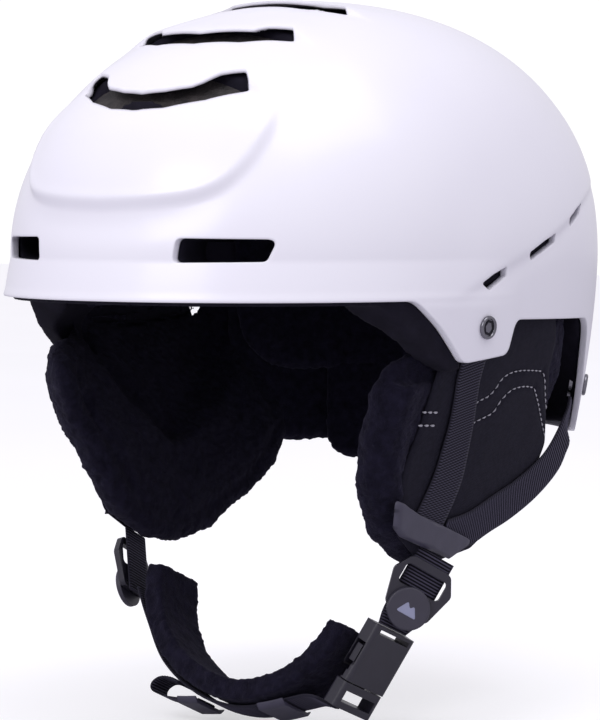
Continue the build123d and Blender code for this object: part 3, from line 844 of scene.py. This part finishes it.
def make_linings():
    """The neck roll round the back, the oval pad above it and the brow band."""
    right_angle = math.pi / 2
    lined_band("neck_lining", right_angle + 0.42, 3 * right_angle - 0.42, -71, 4, 15.5, 25.5, 21)
    lined_band("rear_oval_lining", math.pi - 1.16, math.pi + 1.16, -38, 60, 26, 34, 22, 30.0)
    lined_band("brow_lining", -0.95, 0.95, 3, 16, 20.5, 27, 23)
    nape = lined_band("nape_plush", math.pi - 0.72, math.pi + 0.72, -79, -30, 24, 33, 27, 14.0)
    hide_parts("nape_pad")
    for sign in (1, -1):
        lined_band("temple_lining_" + ("left" if sign > 0 else "right"), sign * right_angle - 0.5,
                   sign * right_angle + 0.5, -6, 36, 20.5, 27, 24 + sign)


make_pads()
make_linings()


# ---- ear covers, stitching and webbing -----------------------------------------------------------

SKIRT_LINE = [(14, 106), (12, 106), (-10, 104.3), (-35, 96.4), (-60, 87.4), (-95, 81.1), (-116, 76.6),
              (-118, 76.2)]


def skirt_radius(level):
    points = SKIRT_LINE
    for i in range(1, len(points) - 2):
        (k0, v0), (k1, v1), (k2, v2), (k3, v3) = points[i - 1:i + 3]
        if level >= k2 or i == len(points) - 3:
            t = (level - k1) / (k2 - k1)
            m1 = (v2 - v0) / (k2 - k0) * (k2 - k1)
            m2 = (v3 - v1) / (k3 - k1) * (k2 - k1)
            return ((2 * t ** 3 - 3 * t ** 2 + 1) * v1 + (t ** 3 - 2 * t ** 2 + t) * m1
                    + (-2 * t ** 3 + 3 * t ** 2) * v2 + (t ** 3 - t ** 2) * m2)
    return points[-1][1]


FLAP_FLATNESS = (4.0, 2.6)


def shell_reach(y, level, depth=0.0):
    """How far the shell stands out sideways at y and z, at or below its widest level."""
    ring = lower_ring(level)
    reach = (FRONT_REACH if y < 0 else REAR_REACH) - depth
    rest = ring ** PLAN_POWER - (abs(y) / reach) ** PLAN_POWER
    return (HALF_WIDTH - depth) * max(rest, 0) ** (1 / PLAN_POWER)


def skirt_spot(y, level, out, sign=1):
    """A point on the ear cover's outer face, or further out, from y and z; it keeps inside the shell."""
    radius = skirt_radius(level) + out
    stretch = FLAP_FLATNESS[0 if y < 0 else 1]
    x = math.sqrt(max(radius ** 2 - (y / stretch) ** 2, 1))
    if level > NAPE_LEVEL:
        x = min(x, shell_reach(y, level, 3.4) - 1.9 + out)
    return Vector((sign * x, y, level))


def skirt_normal(y, level, sign=1):
    along = skirt_spot(y + 1, level, 0, sign) - skirt_spot(y - 1, level, 0, sign)
    down = skirt_spot(y, level - 1, 0, sign) - skirt_spot(y, level + 1, 0, sign)
    way = along.cross(down).normalized()
    return way if way.x * sign > 0 else -way


COVER_OUTLINE = [(-33, 3), (40, 3), (45, -15), (47.5, -30), (56, -46), (66, -63), (62, -72), (53, -79),
                 (38, -92.5), (14, -105.5), (-8, -108.5), (-26, -105), (-41, -95), (-43.5, -80), (-43, -70),
                 (-39, -55), (-38.5, -40), (-37.5, -24), (-34, -19)]
STITCH_OUTER = [(-8.5, -44), (-2.8, -41.5), (2.7, -39.9), (6.3, -37.2), (9.3, -33), (14.6, -30.7),
                (22.3, -30), (32.3, -30.4), (40.8, -31.2)]
STITCH_OUTER_DOWN = [(42, -32), (44.8, -34.6), (50.8, -42.7), (56.5, -49.1)]
STITCH_INNER = [(-6, -52.5), (0.4, -50.2), (5.4, -48.9), (10.8, -47), (13.5, -42.7), (16.9, -39.6),
                (21.2, -37.7), (29.2, -37.1), (37.6, -38)]
STITCH_INNER_DOWN = [(38.5, -38.6), (47.1, -46), (55.8, -54.3), (63, -61.5)]
STITCH_BARS = ([(-41.6, -44), (-30, -44.8)], [(-41.5, -49.5), (-29, -50.3)])
STITCH_ROWS = (STITCH_OUTER, STITCH_OUTER_DOWN, STITCH_INNER, STITCH_INNER_DOWN)


def disc_sheet(outline, centre, rings, place, wall):
    """A closed thin sheet over an outline that is star-shaped about its centre."""
    count = len(outline)
    points = []
    for side in (1, 0):
        for ring in range(rings + 1):
            share = ring / rings
            for p in outline:
                spot = Vector(centre).lerp(p, share)
                edge = (1 - share) * (Vector(centre) - p).length
                points.append(place(spot.x, spot.y, side, min(edge / (2 * wall), 1)))
    faces = []
    block = (rings + 1) * count
    for side in (0, 1):
        for face in grid_faces(rings + 1, count, close_columns=True):
            faces.append(tuple(side * block + k for k in (face if side else reversed(face))))
    for j in range(count):
        k = (j + 1) % count
        inner = rings * count
        faces.append((inner + j, inner + k, block + inner + k, block + inner + j))
    return points, faces


def make_cover(side, sign):
    dense = filled_in(rounded_outline(COVER_OUTLINE, 8, 8), 1.6)
    rows = [[Vector(p) for p in row] for row in STITCH_ROWS]

    def place(y, level, outer, edge):
        spot = Vector((y, level))
        out = -1.5 + 1.5 * outer * (0.35 + 0.65 * math.sqrt(edge))
        if outer:
            for row in rows:
                out -= 0.55 * math.exp(-(polyline_distance(spot, row) / 1.3) ** 2)
            out += 0.35 * noise.noise(Vector((y / 14, level / 14, sign * 3.0)))
        return skirt_spot(y, level, out, sign)

    rings = 70
    points, faces = disc_sheet(dense, (6, -50), rings, place, 1.5)
    cover = add_piece("ear_cover_cloth_" + side, points, faces, CLOTH, "ear_flap_" + side)
    mend(cover.data, 1e-6, turn=False)
    cover.data.shade_smooth()
    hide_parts("ear_cover_" + side)


def stitch_mesh(rows, place, length=2.3, gap=1.0, thick=0.34):
    """Short rounded dashes along rows; place gives a point and the way out of the cloth."""
    points, faces = [], []
    for row in rows:
        total = sum((Vector(b) - Vector(a)).length for a, b in zip(row, row[1:]))
        count = max(int(total / (length + gap)), 1)
        line = curve_through([Vector((*p, 0)) for p in row], count * 8 + 1)
        for dash in range(count):
            part = line[dash * 8:dash * 8 + 7]
            spots = [place(p.x, p.y) for p in part]
            base = len(points)
            for i, (spot, out) in enumerate(spots):
                ahead = spots[min(i + 1, 6)][0] - spots[max(i - 1, 0)][0]
                side = ahead.cross(out).normalized()
                bow = math.sin(math.pi * (i + 0.3) / 6.6)
                for k in range(8):
                    angle = 2 * math.pi * k / 8
                    round_it = side * math.cos(angle) * thick + out * (math.sin(angle) * thick * 0.8)
                    points.append(spot + round_it * max(bow, 0.25) + out * 0.25 * bow)
            faces += shifted(grid_faces(7, 8, close_columns=True) + end_caps(8, 56), base)
    return points, faces


def make_stitches(side, sign):
    def place(y, level):
        return skirt_spot(y, level, -0.35, sign), skirt_normal(y, level, sign)

    points, faces = stitch_mesh(STITCH_ROWS, place)
    add_piece("cover_stitches_" + side, points, faces, THREAD, "ear_flap_" + side)

    def bar_place(y, level):
        return skirt_spot(y, level, 0.1, sign), skirt_normal(y, level, sign)

    points, faces = stitch_mesh(STITCH_BARS, bar_place, 3.2, 0.1, 0.55)
    add_piece("bar_tacks_" + side, points, faces, THREAD, "ear_flap_" + side)


WEB_WALL, RIB_PITCH, RIB_DEPTH, SELVEDGE = 1.5, 1.3, 0.4, 0.9


def strip(name, left, right, normals, body=None, slant=0.0):
    """Ribbed flat webbing between two edges, given as points from end to end, with the way out at each."""
    length = sum((b - a).length for a, b in zip(left, left[1:]))
    step = 0.3
    count = max(int(length / step), 8)
    left, right = curve_through(left, count), curve_through(right, count)
    outs = [v.normalized() for v in curve_through(normals, count)]
    columns = 13
    points, rib_shades = [], []
    for i in range(count):
        width = (right[i] - left[i]).length
        along = i / (count - 1) * length
        ring = []
        for k in range(2 * columns):
            upper = k < columns
            j = k if upper else 2 * columns - 1 - k
            t = j / (columns - 1)
            spot = left[i].lerp(right[i], t)
            rim = min(t, 1 - t) * width
            lift = WEB_WALL / 2 * min(1, 0.35 + rim / 1.1)
            wave = math.sin(2 * math.pi * (along + slant * t * width) / RIB_PITCH)
            if rim > SELVEDGE:
                lift += RIB_DEPTH * 0.5 * (wave - 1)
            # the rib value only colours the webbing: painted shade in the furrows, painted light on the crests
            rib_shades.append(0.5 + 0.5 * wave if rim > SELVEDGE else 0.45)
            ring.append(spot + outs[i] * (lift if upper else -lift))
        points += ring
    faces = grid_faces(count, 2 * columns, close_columns=True)
    faces += end_caps(2 * columns, count * 2 * columns)
    web = add_piece(name, points, faces, WEBBING, body)
    values = web.data.attributes.new("rib", "FLOAT", "POINT")
    values.data.foreach_set("value", rib_shades)
    return web


FRONT_WEB_EDGES = [(-27, -18), (-26.5, -25), (-25.8, -32), (-23.4, -41.3), (-21.2, -51.5), (-21.9, -62.9),
                   (-25, -73.4), (-31.8, -85.4), (-38, -97)]
FRONT_WEB_OTHER = [(-10, -18), (-9.5, -25), (-9.2, -32), (-7.3, -40), (-3.8, -50.5), (-2.2, -62.2),
                   (-3.6, -75), (-9, -86.5), (-16, -98)]
REAR_WEB_LOWER = [(90, -49), (88, -59), (82.7, -72.8), (74.4, -80), (58.4, -88), (38.9, -95), (24.4, -99),
                  (8, -104), (-12, -105)]
REAR_WEB_UPPER = [(76, -44), (71.9, -57), (65.3, -65.8), (55.3, -72), (38.2, -78.7), (22.9, -83.2),
                  (5.7, -88.7), (-9.5, -91)]


WEB_BENDS = {"front": ((104, -18, -20), (97, -15, -50)), "rear": ((84, 84, -48), (78, 62, -74))}


def make_skirt_webs(side, sign):
    webs = (("front", (FRONT_WEB_EDGES, FRONT_WEB_OTHER)), ("rear", (REAR_WEB_UPPER, REAR_WEB_LOWER)))
    for kind, edges in webs:
        rows = [curve_through([Vector((*p, 0)) for p in edge], 24) for edge in edges]
        left, right = [[skirt_spot(p.x, p.y, 1.15, sign) for p in row] for row in rows]
        normals = [skirt_normal((a.x + b.x) / 2, (a.y + b.y) / 2, sign) for a, b in zip(*rows)]
        slant = 0.22 if kind == "front" else -0.12
        web = strip(kind + "_web_" + side, left, right, normals, slant=slant)
        start, end = WEB_BENDS[kind]
        mm(sign * start[0], *start[1:])
        mm(sign * end[0], *end[1:])
        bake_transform(web)
        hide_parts(kind + "_webbing_" + side)


FAR_SHIFT = 11.0
KEEPER_OUTLINE = [(-50, -78.8), (-43, -82.5), (-35, -86), (-15.5, -92.5), (9.6, -102), (-5.6, -108),
                  (-26.6, -101), (-43.8, -95), (-49, -91)]


def make_keeper(side, sign):
    dense = filled_in(rounded_outline(KEEPER_OUTLINE, 2.2, 6), 1.5)

    def place(y, level, outer, edge):
        out = 2.3 + (2.0 * math.sqrt(edge) + 0.12 * noise.noise(Vector((y / 6, level / 6, 9)))) * outer
        return skirt_spot(y + (FAR_SHIFT if sign < 0 else 0), level, out, sign)

    points, faces = disc_sheet(dense, (-22, -96), 14, place, 1.0)
    keeper = add_piece("keeper_band_" + side, points, faces, RUBBER, "ear_flap_" + side)
    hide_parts("strap_keeper_" + side)


EAR_OUTLINE = [(-33, -2), (62, -2), (66, -22), (64, -66), (54, -80), (39, -94), (15, -107.5), (-8, -111),
               (-26, -107.5), (-44, -96), (-55, -77), (-59.5, -56), (-60.5, -36), (-57, -25), (-48, -20),
               (-33, -18.5)]
FLAP_WALL = 17.5
ROLL = 8.0
TOP_ROOM = 6.0  # the pad is thinner at its top by this much, where it swings towards the linings
HOLLOW = [(-31, 20), (-34, -5), (-32, -28), (-20, -52), (-5, -68), (6, -66), (22, -55), (40, -40), (50, -28),
          (54, -5), (52, 20)]


def make_ear_pad(side, sign):
    """A plush flap with a thick roll round its edge and a hollow for the ear on its inner face."""
    outline = rounded_outline(EAR_OUTLINE, 9, 8)
    length = sum((b - a).length for a, b in zip(outline, outline[1:] + outline[:1]))
    spacing = 1.15
    closed = outline + outline[:1]
    evened = curve_through([Vector((*p, 0)) for p in closed], int(length / spacing))
    rim = [Vector((p.x, p.y)) for p in evened[:-1]]
    centre = Vector((4, -48))
    rings = int(50 / spacing)
    points = []
    hollow = curve_through([Vector((*p, 0)) for p in HOLLOW], 40)
    for side_step in (1, 0):
        for ring in range(rings + 1):
            share = (ring / rings) ** 1.2
            for p in rim:
                spot = p.lerp(centre, share)
                edge = share * (centre - p).length
                rounding = ROLL * (1 - math.sqrt(max(1 - (1 - min(edge / ROLL, 1)) ** 2, 0)))
                if side_step:
                    out = -1.9 - rounding
                    out += 2.4 * math.exp(-((edge - 9) / 6) ** 2) * smoothstep(-30, -46, spot.x)
                else:
                    out = -FLAP_WALL - 1.5 * math.exp(-((edge - 20) / 9) ** 2) + rounding
                    out += 10 * smoothstep(-1, 7, side_distance(spot.x, spot.y, hollow))
                    out += 1.2 * math.exp(-((edge - 11) / 1.4) ** 2)
                    out += TOP_ROOM * smoothstep(-40, -8, spot.y)
                spot = spot.copy()
                if sign < 0:
                    spot.x -= 15 * smoothstep(-82, -30, spot.y) * smoothstep(0, -50, spot.x)
                    middle = smoothstep(-106, -80, spot.y) * smoothstep(-30, -60, spot.y)
                    spot.x += 10 * smoothstep(8, 40, spot.x) * middle
                place = skirt_spot(spot.x, spot.y, out, sign)
                if spot.y > -32 and spot.x < -30:
                    limit = shell_reach(spot.x, spot.y, 11.5 if sign > 0 else 6.0)
                    place.x = sign * min(abs(place.x), limit if side_step else limit - 3)
                points.append(place)
    count = len(rim)
    block = (rings + 1) * count
    faces = []
    for level in (0, 1):
        faces += shifted(grid_faces(rings + 1, count, close_columns=True), level * block)
    pad = add_piece("ear_flap_plush_" + side, points, faces, PLUSH, "ear_flap_" + side)
    mend(pad.data, 2e-5)
    remake(pad, 1.15, 4)
    pile(pad, 0.75, 1.9, 5 + sign)
    pad.data.shade_smooth()
    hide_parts("ear_pad_" + side)


for side_name, side_sign in (("left", 1), ("right", -1)):
    make_ear_pad(side_name, side_sign)
    make_cover(side_name, side_sign)
    make_stitches(side_name, side_sign)
    make_skirt_webs(side_name, side_sign)
    make_keeper(side_name, side_sign)


# ---- rivets --------------------------------------------------------------------------------------

def lathe(profile, origin, axis, steps=40):
    """A turned piece about an axis; the profile is (radius, height) pairs."""
    axis = Vector(axis).normalized()
    side = axis.orthogonal().normalized()
    other = axis.cross(side)
    points = []
    for radius, height in profile:
        for k in range(steps):
            angle = 2 * math.pi * k / steps
            way = side * math.cos(angle) + other * math.sin(angle)
            points.append(Vector(origin) + axis * height + way * radius)
    faces = grid_faces(len(profile), steps, close_columns=True)
    faces += end_caps(steps, len(profile) * steps)
    return points, faces


RIVET_SPOTS = ((-23.2, -9.8), (94.0, -40.0))
RIVET_PROFILE = [(2.1, -6.7), (2.1, -0.2), (4.75, 0.1), (4.85, 0.7), (4.6, 1.3), (4.1, 1.55), (3.7, 1.4),
                 (3.45, 0.8)]
SOCKET_PROFILE = [(3.5, 0.6), (3.5, 0.85), (2.3, 0.95), (2.1, 0.1)]


def side_face(y, level):
    """The point of the left side's outer surface at y and z, at or below the widest level."""
    low, high = 0.0, math.pi
    part = 1 + (WIDEST - level) / (WIDEST - LOWEST)
    for _ in range(30):
        turn = (low + high) / 2
        if shell_spot(turn, part).y < y:
            low = turn
        else:
            high = turn
    return shell_spot(low, part)


def make_rivets():
    points, faces = [], []
    hex_points, hex_faces = [], []
    for y, level in RIVET_SPOTS:
        spot = side_face(y, level)
        ahead = side_face(y + 2, level) - spot
        below = spot - side_face(y, level - 2)
        way = ahead.cross(below).normalized()
        for sign in (1, -1):
            origin, axis = (sign * spot.x, spot.y, spot.z), (sign * way.x, way.y, way.z)
            for store, store_faces, shape in (
                    (points, faces, lathe(RIVET_PROFILE, origin, axis)),
                    (hex_points, hex_faces, lathe(SOCKET_PROFILE, origin, axis, 6))):
                base = len(store)
                store += shape[0]
                store_faces += shifted(shape[1], base)
    rivets = add_piece("rivet_heads", points, faces, STEEL, "shell")
    smooth_by_angle(rivets, 50)
    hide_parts("strap_rivets")
    # the hex sockets are dark steel as painted shade of the holes in the rivet heads
    add_piece("rivet_sockets", hex_points, hex_faces, SOCKET_SHADE_STEEL, "shell", smooth=False)


make_rivets()


# ---- chin strap ----------------------------------------------------------------------------------

LOOP_ORIGIN = Vector((0, -31, -128))
LOOP_LEAN = math.radians(24)
LOOP_DOWN = Vector((0, -math.sin(LOOP_LEAN), -math.cos(LOOP_LEAN)))
LOOP_ACROSS = Vector((0, -math.cos(LOOP_LEAN), math.sin(LOOP_LEAN)))
CHIN_WEB_LINE = [(-61, 3), (-50.5, 17), (-34.5, 35), (-11.3, 46.6), (12, 49.3), (33.5, 43.8), (43, 41),
                 (49.5, 41.5)]
WEB_HALF = 8.5


def loop_point(x, down, across=0.0):
    return LOOP_ORIGIN + Vector((x, 0, 0)) + LOOP_DOWN * down + LOOP_ACROSS * across


def loop_strip(line, half, count):
    """Both edges and the outward ways of a strip along a line in the chin strap's plane."""
    line = curve_through([Vector((*p, 0)) for p in line], count)
    normals = []
    for i, p in enumerate(line):
        way = line[min(i + 1, count - 1)] - line[max(i - 1, 0)]
        outward = Vector((-way.y, way.x)).normalized()
        normals.append(Vector((outward.x, 0, 0)) + LOOP_DOWN * outward.y)
    return ([loop_point(p.x, p.y, half) for p in line], [loop_point(p.x, p.y, -half) for p in line], normals)


def make_chin_web():
    left, right, normals = loop_strip(CHIN_WEB_LINE, WEB_HALF, 40)
    web = strip("chin_web", left, right, normals, "chin_strap")
    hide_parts("chin_webbing")


make_chin_web()

SLIDERS = {"left": ((80.0, -26.5, -118.0), (0.128, 0.904, -0.405), (0.92, -0.26, -0.29), "ear_flap_left"),
           "right": ((-73.0, -28.0, -120.0), (0.128, -0.904, 0.405), (-0.92, -0.26, -0.29), "chin_strap")}
SLIDER_TURN = math.radians(-36)


def slider_axes(side, turned=True):
    origin, across, out, body = SLIDERS[side]
    out = Vector(out).normalized()
    across = Vector(across)
    across = (across - out * across.dot(out)).normalized()
    up = out.cross(across)
    if side == "left" and turned:
        turn = Matrix.Rotation(SLIDER_TURN, 3, up)
        out, across = turn @ out, turn @ across
    return Vector(origin), across, up, out, body


def make_lower_webs():
    for side, low in (("left", -20.2), ("right", -14.0)):
        origin, across, up, out, body = slider_axes(side)
        heights = (low, low * 0.75, low / 2, 0, 15)
        acrosses, outs = [across] * 5, [out] * 5
        if side == "left":
            straight = slider_axes(side, turned=False)
            acrosses[0], outs[0] = straight[1], straight[3]
            acrosses[1], outs[1] = (straight[1] + across).normalized(), (straight[3] + out).normalized()
        left = [origin - a * WEB_HALF + up * y - o * 1.45 for a, o, y in zip(acrosses, outs, heights)]
        right = [origin + a * WEB_HALF + up * y - o * 1.45 for a, o, y in zip(acrosses, outs, heights)]
        web = strip("lower_web_" + side, left, right, outs, body)
        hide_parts("lower_webbing_" + side)


make_lower_webs()

CAP_DOWN, CAP_FACE = -9.2, 5.3
MARK_OUTLINE = [(-4.6, -2.7), (-1.5, 2.9), (0.3, 0.3), (1.7, 2.1), (4.6, -2.7)]


def make_cap_marks():
    """A plain two-peak mark on each adjuster's cap."""
    for side in ("left", "right"):
        origin, across, up, out, body = slider_axes(side)
        outline = rounded_outline(MARK_OUTLINE, 0.7)
        points, faces = prism(outline, lambda u, v, w: origin + across * u + up * (CAP_DOWN + v) + out * w,
                              CAP_FACE - 0.4, CAP_FACE + 0.12)
        add_piece("cap_mark_" + side, points, faces, MARK, body, smooth=False)
        bpy.data.objects["slider_cap_" + side].data.materials[0] = DISC


make_cap_marks()

TAB_LINE = [(-27, 42.0), (-32, 40.7), (-37, 40.8), (-40.4, 43.4), (-40.2, 46.4), (-36, 48.2), (-24, 48.9),
            (-13, 48.3)]
BAND_LINES = ([(-21, 50.9), (-16, 50.4), (-11, 49.8)], [(22, 49.4), (28, 47.8), (34.5, 45.7)])


def make_tab_and_bands():
    left, right, normals = loop_strip(TAB_LINE, WEB_HALF - 2.5, 40)
    tab = strip("tab_loop", left, right, normals, "chin_strap")
    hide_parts("pull_tab")
    points, faces = [], []
    for line in BAND_LINES:
        left, right, normals = loop_strip(line, 10.5, 12)
        base = len(points)
        for a, b, out in zip(left, right, normals):
            out = out.normalized()
            for k in range(24):
                upper = k < 12
                t = (k if upper else 23 - k) / 11
                rim = min(t, 1 - t) * 21
                lift = 0.7 * min(1, 0.4 + rim / 1.5)
                wrap = -1.6 * max(0, 1 - rim / 2.2) ** 2
                points.append(a.lerp(b, t) + out * (lift * (1 if upper else -1) + wrap))
        faces += shifted(grid_faces(12, 24, close_columns=True) + end_caps(24, 288), base)
    bands = add_piece("chin_bands", points, faces, RUBBER, "chin_strap")
    smooth_by_angle(bands, 50)
    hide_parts("webbing_bands")


make_tab_and_bands()


# ---- light, floor and background -----------------------------------------------------------------

FLOOR_SIZE, FLOOR_LEVEL = 6000.0, -181.0


def make_floor():
    """A pale floor; its glow is for the camera's rays alone, so that it lights the helmet less."""
    made = Nodes("floor_white")
    made.set(Base_Color=made.ramp(made.noise(3, 2), (0.59, 0.58, 0.62), (0.61, 0.60, 0.64)), Roughness=0.95)
    seen = made.add("ShaderNodeLightPath").outputs["Is Camera Ray"]
    glow = made.add("ShaderNodeMapRange", {"Value": seen, "To Min": 0.0, "To Max": 0.5}).outputs["Result"]
    made.set(Emission_Color=(1, 1, 1, 1), Emission_Strength=glow, Specular_IOR_Level=0.0)
    data = bpy.data.meshes.new("floor")
    corners = [(x * FLOOR_SIZE, y * FLOOR_SIZE, FLOOR_LEVEL) for x, y in ((-1, -1), (1, -1), (1, 1), (-1, 1))]
    data.from_pydata([Vector(corner) * UNIT for corner in corners], [], [(0, 1, 2, 3)])
    data.materials.append(made.material)
    floor = bpy.data.objects.new("floor", data)
    bpy.context.collection.objects.link(floor)


def make_stage():
    make_floor()
    world = bpy.data.worlds.new("studio")
    world.use_nodes = True
    tree = world.node_tree
    seen = tree.nodes["Background"]
    ray = tree.nodes.new("ShaderNodeLightPath").outputs["Is Camera Ray"]
    level = tree.nodes.new("ShaderNodeMapRange")
    level.inputs["To Min"].default_value = 0.74
    level.inputs["To Max"].default_value = 1.05
    tint = tree.nodes.new("ShaderNodeMix")
    tint.data_type = "RGBA"
    tint.inputs["A"].default_value = (0.972, 0.955, 1.015, 1)
    tint.inputs["B"].default_value = (1, 1, 1, 1)
    tree.links.new(ray, level.inputs["Value"])
    tree.links.new(ray, tint.inputs["Factor"])
    tree.links.new(level.outputs["Result"], seen.inputs["Strength"])
    tree.links.new(next(out for out in tint.outputs if out.type == "RGBA"), seen.inputs["Color"])
    bpy.context.scene.world = world
    bpy.context.scene.view_settings.view_transform = "Standard"

    back = Vector((math.sin(CAMERA_AZIMUTH), -math.cos(CAMERA_AZIMUTH), 0))
    right = Vector((math.cos(CAMERA_AZIMUTH), math.sin(CAMERA_AZIMUTH), 0))
    lamps = (("key", back * 900 - right * 700 + Vector((0, 0, 700)), 700, 5.9),
             ("top", back * 350 + right * 300 + Vector((0, 0, 1250)), 900, 6.2))
    for name, spot, width, power in lamps:
        light = bpy.data.lights.new(name, "AREA")
        light.shape = "SQUARE"
        light.size = width * UNIT
        light.energy = power
        lamp = bpy.data.objects.new(name, light)
        lamp.location = spot * UNIT
        lamp.rotation_euler = (-lamp.location).to_track_quat("-Z", "Y").to_euler()
        bpy.context.collection.objects.link(lamp)


make_stage()
